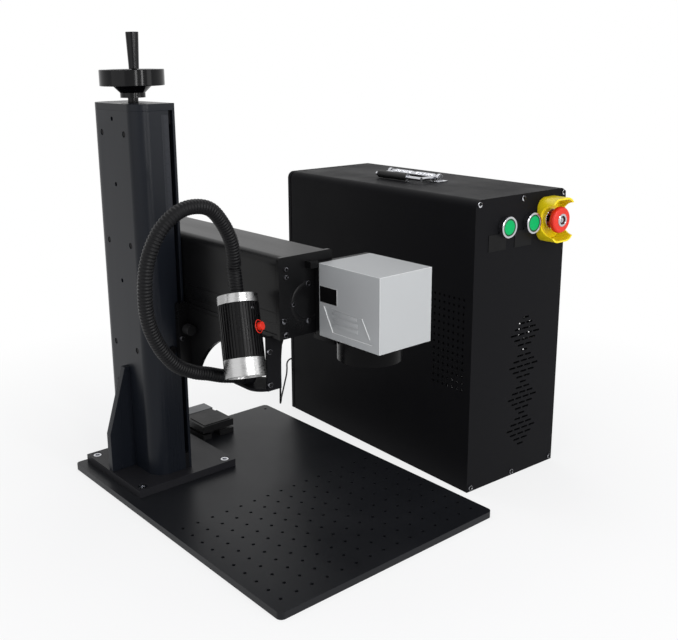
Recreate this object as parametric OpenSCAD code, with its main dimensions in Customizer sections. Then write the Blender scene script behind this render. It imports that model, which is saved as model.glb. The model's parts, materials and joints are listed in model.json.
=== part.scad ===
// Laser marking machine: a lifting stand with a scan head on its arm, a lamp on a gooseneck,
// a foot switch, and the electronics cabinet that stands beside it on one cable.
// Lengths in millimetres, +Z up, origin at the centre of the base plate's underside.

/* [Base plate] */
// Width of the base plate, along X
plate_w = 390; // [380:1:430]
// Depth of the base plate, along Y
plate_d = 550; // [545:1:600]
// Thickness of the base plate
plate_t = 10; // [10:1:16]
// Pitch of the fixture holes
hole_pitch = 25; // [20:1:26]
// Columns of fixture holes
hole_cols = 15; // [9:1:15]
// Rows of fixture holes
hole_rows = 10; // [4:1:10]
// Tapping bore of the fixture holes
hole_bore = 5; // [4:0.5:7]

/* [Column] */
// Side of the square foot plate
foot_side = 175; // [170:1:185]
// Thickness of the foot plate
foot_t = 12; // [12:1:18]
// Width of the column shell, along X
shell_w = 53.5; // [53:0.5:60]
// Depth of the column, along Y
col_d = 140; // [136:1:144]
// Wall of the column shell
shell_wall = 6; // [5:0.5:7]
// Radius of the column's two rounded edges
shell_r = 25; // [15:1:28]
// Height of the column shell above the foot plate
shell_h = 558; // [556:1:640]
// Width of the slot that the carriage plate runs in
slot_w = 7; // [7:0.5:9]
// Thickness of the column cover
cover_t = 4; // [3:0.5:5]
// Thickness of the column cap
cap_t = 10; // [8:1:14]
// Thickness of the gusset
gusset_t = 12; // [8:1:20]

/* [Lift] */
// Height of the arm's underside above the base plate's underside
arm_z = 287; // [280:1:300]
// Diameter of the lead screw
screw_d = 16; // [14:1:18]
// Width of a guide rail
rail_w = 15; // [12:1:18]
// Diameter of the handwheel
wheel_d = 95; // [90:1:110]
// Diameter of the revolving handle at its top
grip_d = 18.5; // [16:0.5:22]
// Length of the revolving handle
grip_len = 51; // [45:1:70]

/* [Arm and scan head] */
// Width of the arm, along X
arm_w = 92; // [90:1:100]
// Height of the arm
arm_h = 112; // [108:1:130]
// Length of the arm between its end plates
arm_len = 379; // [370:1:390]
// Height of the arm's lower tray
tray_h = 36; // [30:1:40]
// Sheet of the arm's hood
hood_t = 2; // [1.5:0.5:2.5]
// Width of the scan head, along X
head_w = 93.2; // [90:0.1:100]
// Depth of the scan head housing, along Y
head_d = 117; // [112:1:125]
// Height of the scan head
head_h = 100.4; // [98:0.1:108]
// Diameter of the lens barrel
lens_d = 88; // [80:1:92]
// Height of the lens barrel below the head
lens_h = 27.6; // [24:0.1:32]

/* [Lamp and gooseneck] */
// Diameter of the lamp's bezel and body
lamp_d = 55; // [48:1:58]
// Length of the lamp from its top to its lower rim
lamp_len = 107.7; // [100:0.1:120]
// Diameter of the gooseneck over its ribs
neck_d = 19.2; // [16:0.2:20]
// Ribs of the gooseneck
neck_ribs = 124; // [100:1:130]

/* [Cabinet] */
// Width of the cabinet
cab_w = 200; // [198:1:240]
// Depth of the cabinet
cab_d = 456; // [450:1:500]
// Height of the cabinet
cab_h = 452; // [448:1:500]
// Sheet of the cabinet
cab_sheet = 1.5; // [1:0.1:2]
// Thickness of the front panel
panel_t = 3; // [2:0.5:4]
// Radius of the cabinet's upper edges
cab_r = 12; // [8:1:14]
// Outer diameter of a push button's bezel
bezel_d = 31; // [28:1:34]
// Diameter of the emergency stop's mushroom
stop_d = 40; // [36:1:44]
// Length of the handle's rubber grip
handle_len = 70; // [60:1:90]

/* [Foot switch] */
// Width of the foot switch
pedal_w = 63; // [58:1:68]
// Depth of the foot switch
pedal_d = 94; // [88:1:98]

/* [Hidden] */
$fn = 64;
// Clearances: shaft in hole, loose faces of two bodies, cut past a face, and slide
shaft_gap = 0.05;
loose_gap = 0.3;
cut = 1;
seat_gap = 0.1;

// Base plate and its holes
plate_r = 8;
row_first_y = -hole_pitch;
corner_in = [14, 18];
corner_at = [plate_w / 2 - corner_in[0], plate_d / 2 - corner_in[1]];
foot_bolt_d = 8;
foot_head_d = 13;
foot_head_h = 8;
foot_cbore_d = 15;
foot_cbore_depth = 8.5;
foot_bolt_in = 12.5;
foot_bolt_float = 1;

// Column, from its left face
col_x = -135;
col_y = 185.5;
foot_at = [-89.5, 180.5];
foot_top = plate_t + foot_t;
shell_x1 = col_x + shell_w;
slot_x1 = shell_x1 + slot_w;
cover_x1 = slot_x1 + cover_t;
col_y0 = col_y - col_d / 2;
col_y1 = col_y + col_d / 2;
in_y0 = col_y0 + shell_wall;
in_y1 = col_y1 - shell_wall;
shell_top = foot_top + shell_h;
cap_top = shell_top + cap_t;
col_w = cover_x1 - col_x;
block_h = 25.5;
block_top_h = 20;
block_top_z = shell_top - block_top_h;
block_z1 = foot_top + block_h;

// Screws of the column: head and shank
m5_d = 5;
m5_head_d = 10;
m4_d = 4;
m4_head_d = 7;
m4_head_h = 4;
csk_h = 2.5;
under_screw_in = [22, 12];
under_screw_half = 35;
under_len = foot_t + 13;
cap_screw_in = 20;
cap_screw_half = 50;
cap_screw_len = cap_t + 10;
cover_screw_half = 35;
cover_screw_in = [13, 9];
cover_screw_len = cover_t + 12;
m4_recess = 0.5;
rail_screw_depth = 7;
rail_screw_z = [0.3556, 0.6482, 0.9409];
rail_half = 33.5;
wall_holes_z = [0.543, 0.807];
wall_hole_d = 6.5;
top_hole_in = 12;
rail_cbore_d = 9;
socket_depth = 1.5;
low_hole = [219.5, 156];
face_screw_d = 6;
face_screw_head_d = 13;
face_screw_head_h = 3;
face_screw = [-95, 222];
scale_w = 11;
scale_t = 0.4;
scale_len = 150;
scale_x = -93;
scale_top_in = 6;

// Gusset outline
gusset_reach = 41;
gusset_low_h = 62;
gusset_top_h = 166;
gusset_top_w = 9;

// Lead screw, rails and carriage
screw_at = [-98, col_y];
journal_d = 12;
journal_len = 17;
rail_t = 12;
rail_z0 = block_z1 + 2;
rail_z1 = block_top_z - 3;
neck_len = 7;
neck_sleeve_d = 15.5;
neck_sleeve_in = 4;
collar_d = 37;
collar_h = 7;
hub_top_d = 58;
hub_h = 10;
wheel_z = cap_top + neck_len + collar_h;
web_t = 8;
web_in = 4;
rim_z0 = wheel_z + hub_h;
rim_h = 23.6;
rim_w = 12;
rim_round = 1.5;
boss_d = 16;
spindle_d = 6;
grip_low_d = 14.5;
grip_radius = 36;
grip_turn = -113;
spindle_step = 0.5;
spindle_step_d = 9;
grip_recess = 9;
spindle_head_d = 9;
spindle_head_h = 4;
spindle_socket_d = 4;
collar_screw_d = 5;
collar_screw_turn = -91;
block_drop = 97;
carriage_h = 90;
carriage_half = 50;
carriage_x0 = -124;
channel_x = -114;
rail_gap = 0.2;
nut_d = 28;
nut_flange_d = 44;
nut_flange_h = 8;
nut_h = 45;
carriage_z = arm_z - block_drop;
carriage_plate_t = slot_w - 1;
carriage_plate_x = shell_x1 + 0.5;
carriage_plate_h = 95;
wing_t = 10;
wing_x0 = -87;
wing_z0 = arm_z - 102;
wing_h = 110;
bracket_x0 = -68;
web_w = 8;
bracket_y0 = 20;
bracket_y1 = 262;
bracket_drop = 105;
bracket_arc_r = 136.4;
bracket_arc_at = [-31.7, arm_z - 159];
flange_h = 8;
knob_d = 16;
knob_h = 15;
knob_stud_d = 6;
knob_neck_d = 9;
knob_neck_h = 5;
knob_at = [-77.5, arm_z - 31];
gib_at = [-84, arm_z - 46];
wing_screw_in = 15;
wing_y0 = col_y0 - loose_gap - wing_t;
wing_y1 = col_y1 + loose_gap;

// Arm
arm_x0 = bracket_x0;
arm_x1 = arm_x0 + arm_w;
arm_y0 = -114;
arm_y1 = arm_y0 + arm_len;
arm_top = arm_z + arm_h;
end_t = 6;
front_y = arm_y0 - end_t;
hood_r = 12;
end_r = 4;
tray_floor = 8;
tray_wall = 6;
groove_z0 = 6;
groove_z1 = 21;
groove_in = 1.5;
beam_x = 6;
beam_z = arm_z + 38;
beam_bore = 14;
cable_at = [-20, -62];
cable_d = 3;
arm_gland_d = 8;
arm_gland_h = 6;
end_screws = [[-57, 96], [-57, 85], [-46, 46]];
ring_screws = [[-20.5, 71], [-20.5, 19], [-62, 26], [-59, 6.5]];
end_screw_d = 3;
end_screw_head_d = 5.5;
end_screw_head_h = 3;
ring_screw_head_d = 7.5;
plug_z = 93;
plug_w = 13;
plug_h = 9;
plug_t = 12;
plug_gap = 1;
optic_d = 23;
optic_small_d = 18;
optic_len = [55, 45, 70];
clamp_w = 12;
clamp_l = 12;
clamp_side = 8;

// Scan head
head_x = -9.5;
adapter_t = 4.5;
back_t = 7.5;
head_z = arm_z - 1.4;
back_y = front_y - adapter_t;
house_y1 = back_y - back_t;
house_y0 = house_y1 - head_d;
house_wall = 4;
lens_at = [33, -186];
lens_spigot_d = 58;
lens_bore_d = 50;
lens_rim_d = 76;
glass_t = 4;
glass_inset = 2;
label_y = -168;
label_z = 48;
label_w = 34;
label_h = 22;
label_t = 0.6;
pocket = [[-141, 43], [-159, 9.5], [-235, 9.5], [-216, 40.5]];
pocket_depth = 1;
motor_d = 18;
mirror_shaft_d = 3;
mirror_gap = 15;
mirror_shaft_in = 11;
motor_bore_len = 12;
mirror_t = 1.6;
mirror_a = [12, 16];
mirror_b = [20, 14];
shelf_t = 6.6;
shelf_w = 33.5;
shelf_y0 = -162;
adapter_in = 2;
mirror_x_at = [beam_x, lens_at[1], beam_z];
mirror_y_at = [lens_at[0], lens_at[1], beam_z];
motor_z0 = beam_z + mirror_gap;
motor_y1 = lens_at[1] - mirror_gap;
shelf_screw_at = [4, -145];
shelf_screw_head_h = 2.5;

// Gooseneck bracket, gooseneck and lamp
foot_plate_t = 4;
foot_plate_z = arm_z - 77;
goose_x0 = -90;
goose_x1 = -50;
goose_y0 = -98;
goose_y1 = -40;
goose_r = 25;
leg_x0 = -74;
leg_lip = 24;
leg_screws_z = [267, 219.5];
leg_screw_x = -70.5;
leg_screw_head_h = 3;
gib_head_h = 4;
wing_screw_len = 10;
ferrule_d = 21;
ferrule_len = 17;
neck_rise = 15;
neck_start = [-90, -60, arm_z - 61];
neck_dir = [-cos(neck_rise), 0, sin(neck_rise)];
lamp_top = [-110.3, -84.4, arm_z + 62.7];
lamp_back = -22.23;
lamp_tilt = 9.57;
lamp_up = [sin(lamp_tilt), -sin(lamp_back) * cos(lamp_tilt), cos(lamp_back) * cos(lamp_tilt)];
lamp_collar_d = 21;
lamp_collar_h = 1;
lamp_cap_h = 12;
lamp_cap_d = 54;
lamp_bezel_h = 24;
lamp_body_h = lamp_len - lamp_cap_h - lamp_bezel_h;
lamp_wall = 3;
lamp_flutes = 40;
flute_w = 2.3;
flute_depth = 1.6;
lamp_glass_t = 3;
lamp_glass_in = 4;
lamp_button_d = 11;
lamp_button_z = -45.3;
lamp_button_turn = -64.5;
lamp_button_out = 6;
lamp_button_depth = 9;
lamp_ring_d = 18;
lamp_ring_out = 0.5;
neck_sides = 8;
neck_bore_r = 5;
neck_valley = 1.3;
bore_step = 4;
neck_mid = [
    [-144, -61, 243], [-169, -62, 252], [-198, -66, 270], [-224, -72, 303], [-240, -78, 340],
    [-245, -84, 380], [-241, -88, 417], [-226, -92, 450], [-204, -95, 470], [-179, -94, 476],
    [-152, -91, 470], [-131, -86, 450], [-115, -81, 424], [-107, -75, 398]];
neck_end = lamp_top + lamp_collar_h * lamp_up;
neck_route = concat([neck_start, neck_start + neck_d * neck_dir,
    neck_start + 1.8 * neck_d * neck_dir], neck_mid,
    [neck_end + 1.9 * neck_d * lamp_up, neck_end + neck_d * lamp_up, neck_end]);
neck_rings = [for (k = [0 : 2 * neck_ribs]) k / (2 * neck_ribs)];

// Cabinet, in its own frame: u right, v back, w up
cab_at = [222.7, -202.1];
cab_yaw = -2.49;
wrap_v1 = cab_d - 9.5;
flange_in = 12;
tray_up = 20;
lip_up = 14;
gap_v = 2;
gap_in = 4;
rear_t = 3;
screw_in = 6.8;
panel_screw_head_d = 8;
panel_screw_head_h = 2.2;
button_u = [63, 117.5];
button_w = 407;
button_d = 25;
button_stem_d = 12;
button_out = 9;
button_cap_t = 5;
button_stem_len = 20;
bezel_out = 6;
barrel_d = 22;
barrel_len = 28;
stop_at = [159.5, 409];
stop_stem_d = 10;
stop_out = 27;
stop_cap_t = 10;
stop_round = 4;
lock_d = 19;
lock_bore_d = 13;
lock_out = 1;
lock_depth = 3;
stop_stem_in = 4;
guard_u = 133.5;
guard_w = 52;
guard_h = 67;
guard_t = 3;
guard_out = 29;
guard_wall = 3;
guard_r = 17;
guard_scoop_r = 25;
tag_w = 37.5;
tag_h = 25;
tag_t = 0.8;
tag_u = [46.8, 103.3];
tag_mid = 385.5;
vent_top = 259.2;
vent_pitch = 8.73;
vent_long = 14.5;
vent_high = 3;
vent_step = 17.3;
vent_most = 4;
vent_u = 119.5;
vent_groups = 4;
perf_v = 17.7;
perf_w = 162;
perf_pitch = 10;
perf_pitch_w = 10.8;
perf_cols = 7;
perf_rows = 14;
perf_d = 4;
pivot_u = 100;
pivot_v = 232;
pivot_h = 7;
pivot_d = 4;
lug_t = 5;
lug_w = 12;
lug_base_w = 22;
lug_base_l = 16;
lug_base_t = 2;
bail_d = 6;
bail_reach = 36;
pin_out = 7;
handle_grip_d = 12;
handle_spring_d = 9;
handle_grip_back = 12;
handle_half = handle_len / 2 + 19;
handle_v = [pivot_v - handle_half - 4, pivot_v + handle_half + 4];
handle_screw_u = 7;
source_at = [25, 60];
source_back = 126;
source_size = [cab_w - 2 * source_at[0], cab_d - source_at[1] - source_back, 100];
supply_at = [45, 90];
supply_back = 166;
supply_size = [cab_w - 2 * supply_at[0], cab_d - supply_at[1] - supply_back, 50];
fan_side = 80;
fan_t = 25;
fan_at = [140, 120];
fan_v1 = cab_d - rear_t;
fan_bore = 76;
fan_hub = 30;
fan_strut = 4;
fan_plate_t = 5;
fan_shaft_d = 4;
blade_count = 7;
blade_len = 19;
blade_t = 1.5;
blade_w = 14;
blade_pitch = 35;
blade_root = 14;
grill_step = 9;
grill_slot = 6;
grill_rings = 4;
grill_bar = 4;
grill_first = 8;
grill_reach = 2 * (grill_first + grill_rings * grill_step);
inlet_at = [75, 45];
inlet_w = 48;
inlet_h = 26;
inlet_body_w = 27;
inlet_body_h = 20;
inlet_depth = 18;
inlet_flange = 2;
inlet_well = 13;
inlet_wall = 2;
pin_pitch = 7;
pin_w = 2;
pin_h = 4;
gland_at = [45, 80];
gland_d = 16;
gland_len = 14;
gland_stem_d = 12;
gland_stem_in = 5;

// Foot switch
pedal_at = [12, 209];
tread_d = 66;
pedal_rear_h = 25.5;
pedal_foot = [17, 34, 20];
pedal_base_h = 9;
pedal_gap = 4;
pedal_h = 12;
cheek_t = 3;
cheek_l = 13;
cheek_h = 20;
pedal_pin_d = 4;
pedal_pin_in = 7;
pedal_pin_z = 16;
pad_t = 1.5;
pad_in = 5;
pad_l = 46;
pad_front = 3;
pedal_gland_d = 8;
pedal_gland_len = 5;

// Cable: its points in the shared frame, then its way into the gland
cable_lead = 12;
cable_gap = 0.5;
cable_mid = [[-20, -62, 272], [-10, -44.4, 251.5], [1.9, -28.2, 225.8], [16.7, -8.1, 196.8],
    [31.6, 12, 171], [49.5, 36.1, 144], [67.5, 60.1, 121.2], [85.5, 84.1, 102.2],
    [103.6, 108, 86.9], [122, 131.7, 75], [140.7, 155.1, 66.4], [159.6, 178.4, 61.2],
    [179.5, 200.9, 59], [200, 222.9, 60.1], [217.5, 240.9, 63.4], [231.6, 255.1, 67.6],
    [243.3, 268.5, 72.4], [255.5, 283.5, 77.5], [269, 291.5, 80], [281, 287.5, 80]];
cable_route = concat([[cable_at[0], cable_at[1], arm_z - arm_gland_h - cable_gap]], cable_mid,
    [cab(gland_at[0], cab_d + gland_len + cable_lead, gland_at[1]),
        cab(gland_at[0], cab_d + gland_len, gland_at[1])]);
cable_rings = 76;
cable_sides = 8;

// Shared shapes
module round_rect(w, d, r) {
    translate([r, 0]) square([w - 2 * r, d]);
    translate([0, r]) square([w, d - 2 * r]);
    for (x = [r, w - r], y = [r, d - r]) translate([x, y]) circle(r);
}
module box(a, b) {
    translate(a) cube(b - a);
}
// A plate in XZ, from y0 to y1
module along_y(y0, y1) {
    translate([0, y1, 0]) rotate([90, 0, 0]) linear_extrude(y1 - y0) children();
}
// A cylinder along +Y from point p
module rod_y(p, d, len) {
    translate(p) rotate([-90, 0, 0]) cylinder(d = d, h = len);
}
module rod_x(p, d, len) {
    translate(p) rotate([0, 90, 0]) cylinder(d = d, h = len);
}
module rod_z(p, d, len) {
    translate(p) cylinder(d = d, h = len);
}
// Section of the column: two rounded edges at left
module column_outline(x0, x1, y0, y1, r) {
    translate([x0 + r, y0]) square([x1 - x0 - r, y1 - y0]);
    translate([x0, y0 + r]) square([x1 - x0, y1 - y0 - 2 * r]);
    for (y = [y0 + r, y1 - r]) translate([x0 + r, y]) circle(r);
}
// An outline with rounded upper corners only
module arch_outline(w, h, r) {
    square([w, h - r]);
    translate([r, 0]) square([w - 2 * r, h]);
    for (x = [r, w - r]) translate([x, h - r]) circle(r);
}

// Swept tubes: a ring of points at each place on a route
function unit(a) = a / norm(a);
function spline(p0, p1, p2, p3, t) = 0.5 * (2 * p1 + (p2 - p0) * t
    + (2 * p0 - 5 * p1 + 4 * p2 - p3) * t * t + (3 * p1 - p0 - 3 * p2 + p3) * t * t * t);
function dense(pts, per) = [for (i = [0 : len(pts) - 2], k = [0 : per - 1])
    spline(pts[max(i - 1, 0)], pts[i], pts[i + 1], pts[min(i + 2, len(pts) - 1)], k / per),
    pts[len(pts) - 1]];
function run(d) = [for (i = 0, s = 0; i < len(d);
    s = s + (i + 1 < len(d) ? norm(d[i + 1] - d[i]) : 0), i = i + 1) s];
function table(d, s, k) = [for (i = [0 : len(d) - 1]) [s[i], d[i][k]]];
function places(d, at) = let (s = run(d), tx = table(d, s, 0), ty = table(d, s, 1),
    tz = table(d, s, 2), l = s[len(s) - 1])
    [for (a = at) [lookup(a * l, tx), lookup(a * l, ty), lookup(a * l, tz)]];
function heading(c, i) = unit(c[min(i + 1, len(c) - 1)] - c[max(i - 1, 0)]);
function flat_to(u, t) = unit(u - (u * t) * t);
function sides_of(c, u0) = [for (i = 0, u = flat_to(u0, heading(c, 0)); i < len(c);
    i = i + 1, u = i < len(c) ? flat_to(u, heading(c, i)) : u) u];
function ring(p, t, u, r, n) = [for (j = [0 : n - 1])
    p + r * (cos(360 * j / n) * u + sin(360 * j / n) * cross(t, u))];
function rings(c, us, rs, n) = [for (i = [0 : len(c) - 1])
    each ring(c[i], heading(c, i), us[i], rs[i], n)];
module swept(c, rs, n, u0) {
    us = sides_of(c, u0);
    last = (len(c) - 1) * n;
    polyhedron(rings(c, us, rs, n), concat(
        [for (i = [0 : len(c) - 2], j = [0 : n - 1])
            each [[i * n + j, (i + 1) * n + j, (i + 1) * n + (j + 1) % n],
                [i * n + j, (i + 1) * n + (j + 1) % n, i * n + (j + 1) % n]]],
        [for (j = [1 : n - 2]) [0, j, j + 1]],
        [for (j = [1 : n - 2]) [last, last + j + 1, last + j]]));
}
// The same with a bore whose rings stand every few outer rings
module swept_bored(c, rs, n, u0, bore, every) {
    us = sides_of(c, u0);
    picks = [for (i = [0 : every : len(c) - 1]) i];
    inner = [for (i = picks) each ring(c[i], heading(c, i), us[i], bore, n)];
    o = len(c) * n;
    last = (len(c) - 1) * n;
    ilast = o + (len(picks) - 1) * n;
    polyhedron(concat(rings(c, us, rs, n), inner), concat(
        [for (i = [0 : len(c) - 2], j = [0 : n - 1])
            each [[i * n + j, (i + 1) * n + j, (i + 1) * n + (j + 1) % n],
                [i * n + j, (i + 1) * n + (j + 1) % n, i * n + (j + 1) % n]]],
        [for (i = [0 : len(picks) - 2], j = [0 : n - 1])
            each [[o + i * n + j, o + (i + 1) * n + (j + 1) % n, o + (i + 1) * n + j],
                [o + i * n + j, o + i * n + (j + 1) % n, o + (i + 1) * n + (j + 1) % n]]],
        [for (j = [0 : n - 1]) each [[j, (j + 1) % n, o + (j + 1) % n],
            [j, o + (j + 1) % n, o + j]]],
        [for (j = [0 : n - 1]) each [[last + j, ilast + (j + 1) % n, last + (j + 1) % n],
            [last + j, ilast + j, ilast + (j + 1) % n]]]));
}

// Base plate with its tapped fixture holes
module base_plate() color("dimgray") difference() {
    translate([-plate_w / 2, -plate_d / 2, 0]) linear_extrude(plate_t)
        round_rect(plate_w, plate_d, plate_r);
    for (i = [0 : hole_cols - 1], j = [0 : hole_rows - 1])
        rod_z([(i - (hole_cols - 1) / 2) * hole_pitch, row_first_y - j * hole_pitch, -cut],
            hole_bore, plate_t + 2 * cut);
    rod_z([corner_at[0], corner_at[1], -cut], hole_bore, plate_t + 2 * cut);
    each_foot_bolt() rod_z([0, 0, -cut], foot_bolt_d, plate_t + 2 * cut);
}
module each_foot_bolt() {
    for (x = [-1, 1], y = [-1, 1])
        translate([foot_at[0] + x * (foot_side / 2 - foot_bolt_in),
            foot_at[1] + y * (foot_side / 2 - foot_bolt_in), 0]) children();
}
module column_foot() color("black") difference() {
    box([foot_at[0] - foot_side / 2, foot_at[1] - foot_side / 2, plate_t],
        [foot_at[0] + foot_side / 2, foot_at[1] + foot_side / 2, foot_top]);
    each_foot_bolt() {
        rod_z([0, 0, plate_t - cut], foot_bolt_d + 1, foot_t + 2 * cut);
        rod_z([0, 0, foot_top - foot_cbore_depth], foot_cbore_d, foot_cbore_depth + cut);
    }
    each_under_screw() csk_hole(foot_t);
}
module foot_bolts() color("silver") each_foot_bolt() {
    rod_z([0, 0, foot_bolt_float], foot_bolt_d, foot_top - foot_cbore_depth - foot_bolt_float);
    difference() {
        rod_z([0, 0, foot_top - foot_cbore_depth], foot_head_d, foot_head_h);
        rod_z([0, 0, foot_top - foot_cbore_depth + foot_head_h / 2], foot_bolt_d - 1,
            foot_head_h);
    }
}
// Countersunk screw and its hole, head at z = 0 facing down, shank upward
module csk_screw(len) {
    cylinder(d1 = m5_head_d, d2 = m5_d, h = csk_h);
    cylinder(d = m5_d, h = len);
}
module csk_hole(len) {
    cylinder(d1 = m5_head_d, d2 = m5_d, h = csk_h);
    translate([0, 0, -cut]) cylinder(d = m5_d, h = len + 2 * cut);
}
module each_under_screw() {
    for (x = [col_x + under_screw_in[0], slot_x1 - under_screw_in[1]],
        y = [col_y - under_screw_half, col_y + under_screw_half])
        translate([x, y, plate_t]) children();
}
module each_cap_screw() {
    for (y = [col_y - cap_screw_half, col_y + cap_screw_half])
        translate([col_x + cap_screw_in, y, cap_top]) rotate([180, 0, 0]) children();
}
module each_cover_screw() {
    for (y = [col_y - cover_screw_half, col_y + cover_screw_half],
        z = [foot_top + cover_screw_in[0], shell_top - cover_screw_in[1]])
        translate([cover_x1, y, z]) rotate([0, -90, 0]) children();
}
module each_rail_screw() {
    for (y = [col_y - rail_half, col_y + rail_half], s = rail_screw_z)
        translate([col_x, y, foot_top + s * shell_h]) rotate([0, 90, 0]) children();
}
module column_screws() color("dimgray") {
    each_under_screw() csk_screw(under_len);
    each_cap_screw() csk_screw(cap_screw_len);
    each_cover_screw() csk_screw(cover_screw_len);
    each_rail_screw() translate([0, 0, m4_recess]) {
        difference() {
            cylinder(d = m4_head_d, h = m4_head_h - m4_recess);
            translate([0, 0, -cut]) cylinder(d = m4_d - 1, h = cut + socket_depth);
        }
        cylinder(d = m4_d, h = shell_wall + rail_screw_depth - m4_recess);
    }
    translate([face_screw[0], col_y0, face_screw[1]]) rotate([90, 0, 0]) {
        difference() {
            cylinder(d = face_screw_head_d, h = face_screw_head_h);
            translate([0, 0, socket_depth]) cylinder(d = m4_d, h = face_screw_head_h);
        }
        translate([0, 0, -shell_wall]) cylinder(d = face_screw_d, h = shell_wall);
    }
}
module column_shell() color("black") difference() {
    translate([0, 0, foot_top]) linear_extrude(shell_h) difference() {
        column_outline(col_x, shell_x1, col_y0, col_y1, shell_r);
        column_outline(col_x + shell_wall, shell_x1 + cut, in_y0, in_y1, shell_r - shell_wall);
    }
    each_rail_screw() {
        translate([0, 0, -cut]) cylinder(d = m4_d, h = shell_wall + 2 * cut);
        translate([0, 0, -cut]) cylinder(d = rail_cbore_d, h = m4_head_h + cut);
    }
    for (s = wall_holes_z) rod_x([col_x - cut, col_y, foot_top + s * shell_h], wall_hole_d,
        shell_wall + 2 * cut);
    rod_x([col_x - cut, col_y, shell_top - top_hole_in], wall_hole_d, shell_wall + 2 * cut);
    rod_x([col_x - cut, low_hole[0], low_hole[1]], wall_hole_d, shell_wall + 2 * cut);
    rod_y([face_screw[0], col_y0 - cut, face_screw[1]], face_screw_d, shell_wall + 2 * cut);
    box([scale_x, col_y0 - cut, shell_top - scale_top_in - scale_len],
        [scale_x + scale_w, col_y0 + scale_t, shell_top - scale_top_in]);
}
module column_cover() color("black") difference() {
    box([slot_x1, col_y0, foot_top], [cover_x1, col_y1, shell_top]);
    each_cover_screw() csk_hole(cover_t);
}
module column_cap() color("black") difference() {
    translate([0, 0, shell_top]) linear_extrude(cap_t)
        column_outline(col_x, cover_x1, col_y0, col_y1, shell_r);
    rod_z([screw_at[0], screw_at[1], shell_top - cut], screw_d + 1, cap_t + 2 * cut);
    each_cap_screw() csk_hole(cap_t);
}
// Blocks that hold the lead screw's ends inside the column
module bearing_blocks() color("gray") difference() {
    union() {
        translate([0, 0, foot_top]) linear_extrude(block_h)
            column_outline(col_x + shell_wall + seat_gap, shell_x1, in_y0 + seat_gap,
                in_y1 - seat_gap, shell_r - shell_wall);
        box([shell_x1, col_y0, foot_top], [slot_x1, col_y1, block_z1]);
        translate([0, 0, block_top_z]) linear_extrude(block_top_h)
            column_outline(col_x + shell_wall + seat_gap, slot_x1, in_y0 + seat_gap,
                in_y1 - seat_gap, shell_r - shell_wall);
    }
    rod_z([screw_at[0], screw_at[1], block_z1 - journal_len - 1],
        journal_d + 2 * shaft_gap, journal_len + 1 + cut);
    rod_z([screw_at[0], screw_at[1], block_top_z - cut], screw_d + 2 * shaft_gap,
        block_top_h + 2 * cut);
    each_under_screw() cylinder(d = m5_d, h = under_len);
    each_cap_screw() cylinder(d = m5_d, h = cap_screw_len);
    each_cover_screw() cylinder(d = m5_d, h = cover_screw_len);
}
module gusset() color("black")
    translate([0, col_y + gusset_t / 2, 0]) rotate([90, 0, 0]) linear_extrude(gusset_t)
        polygon([[col_x, foot_top], [col_x - gusset_reach, foot_top],
            [col_x - gusset_reach, foot_top + gusset_low_h],
            [col_x - gusset_top_w, foot_top + gusset_top_h],
            [col_x, foot_top + gusset_top_h]]);
module guide_rails() color("silver") difference() {
    for (y = [col_y - rail_half, col_y + rail_half])
        box([col_x + shell_wall, y - rail_w / 2, rail_z0],
            [col_x + shell_wall + rail_t, y + rail_w / 2, rail_z1]);
    each_rail_screw() cylinder(d = m4_d, h = shell_wall + rail_screw_depth);
}
module height_scale() color("silver")
    box([scale_x, col_y0, shell_top - scale_top_in - scale_len],
        [scale_x + scale_w, col_y0 + scale_t, shell_top - scale_top_in]);

// Lead screw with its handwheel
module lead_screw() color("silver") {
    rod_z([screw_at[0], screw_at[1], block_z1 - journal_len], journal_d, journal_len + 1);
    rod_z([screw_at[0], screw_at[1], block_z1 + seat_gap], screw_d,
        cap_top - neck_sleeve_in - block_z1 - seat_gap);
    rod_z([screw_at[0], screw_at[1], cap_top - neck_sleeve_in - 1], journal_d,
        neck_sleeve_in + neck_len + collar_h + hub_h + 1);
}
module handwheel() color("black") translate([screw_at[0], screw_at[1], 0]) {
    difference() {
        union() {
            rod_z([0, 0, cap_top - neck_sleeve_in], neck_sleeve_d, neck_sleeve_in + neck_len);
            rod_z([0, 0, cap_top + neck_len], collar_d, collar_h);
            translate([0, 0, wheel_z]) cylinder(d1 = collar_d, d2 = hub_top_d, h = hub_h);
            rod_z([0, 0, rim_z0], hub_top_d, web_in + web_t);
            rod_z([0, 0, rim_z0 + web_in], wheel_d - 2 * rim_w + 2, web_t);
            translate([0, 0, rim_z0]) rotate_extrude() translate([wheel_d / 2 - rim_w, 0])
                round_rect(rim_w, rim_h, rim_round);
            rotate([0, 0, grip_turn]) rod_z([grip_radius, 0, rim_z0 + web_in], boss_d,
                rim_h - web_in);
        }
        rod_z([0, 0, cap_top - neck_sleeve_in - cut], journal_d,
            neck_sleeve_in + neck_len + collar_h + hub_h + cut);
        rotate([0, 0, grip_turn]) rod_z([grip_radius, 0, rim_z0 + web_in + web_t], spindle_d,
            rim_h);
    }
    translate([0, 0, cap_top + neck_len + collar_h / 2]) rotate([0, 0, collar_screw_turn])
        rotate([0, 90, 0]) translate([0, 0, collar_d / 2]) cylinder(d = collar_screw_d, h = 1);
    rotate([0, 0, grip_turn]) translate([grip_radius, 0, rim_z0 + web_in + web_t]) {
        cylinder(d = spindle_d,
            h = rim_h - web_in - web_t + grip_len - grip_recess + spindle_step);
        translate([0, 0, rim_h - web_in - web_t])
            cylinder(d = spindle_step_d, h = spindle_step);
        translate([0, 0, rim_h - web_in - web_t + grip_len - grip_recess + spindle_step
            + loose_gap]) difference() {
                cylinder(d = spindle_head_d, h = spindle_head_h);
                translate([0, 0, spindle_head_h / 2])
                    cylinder(d = spindle_socket_d, h = spindle_head_h);
            }
        translate([0, 0, rim_h - web_in - web_t + grip_len - grip_recess])
            cylinder(d = spindle_d, h = spindle_step + loose_gap + 1);
    }
}
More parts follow.
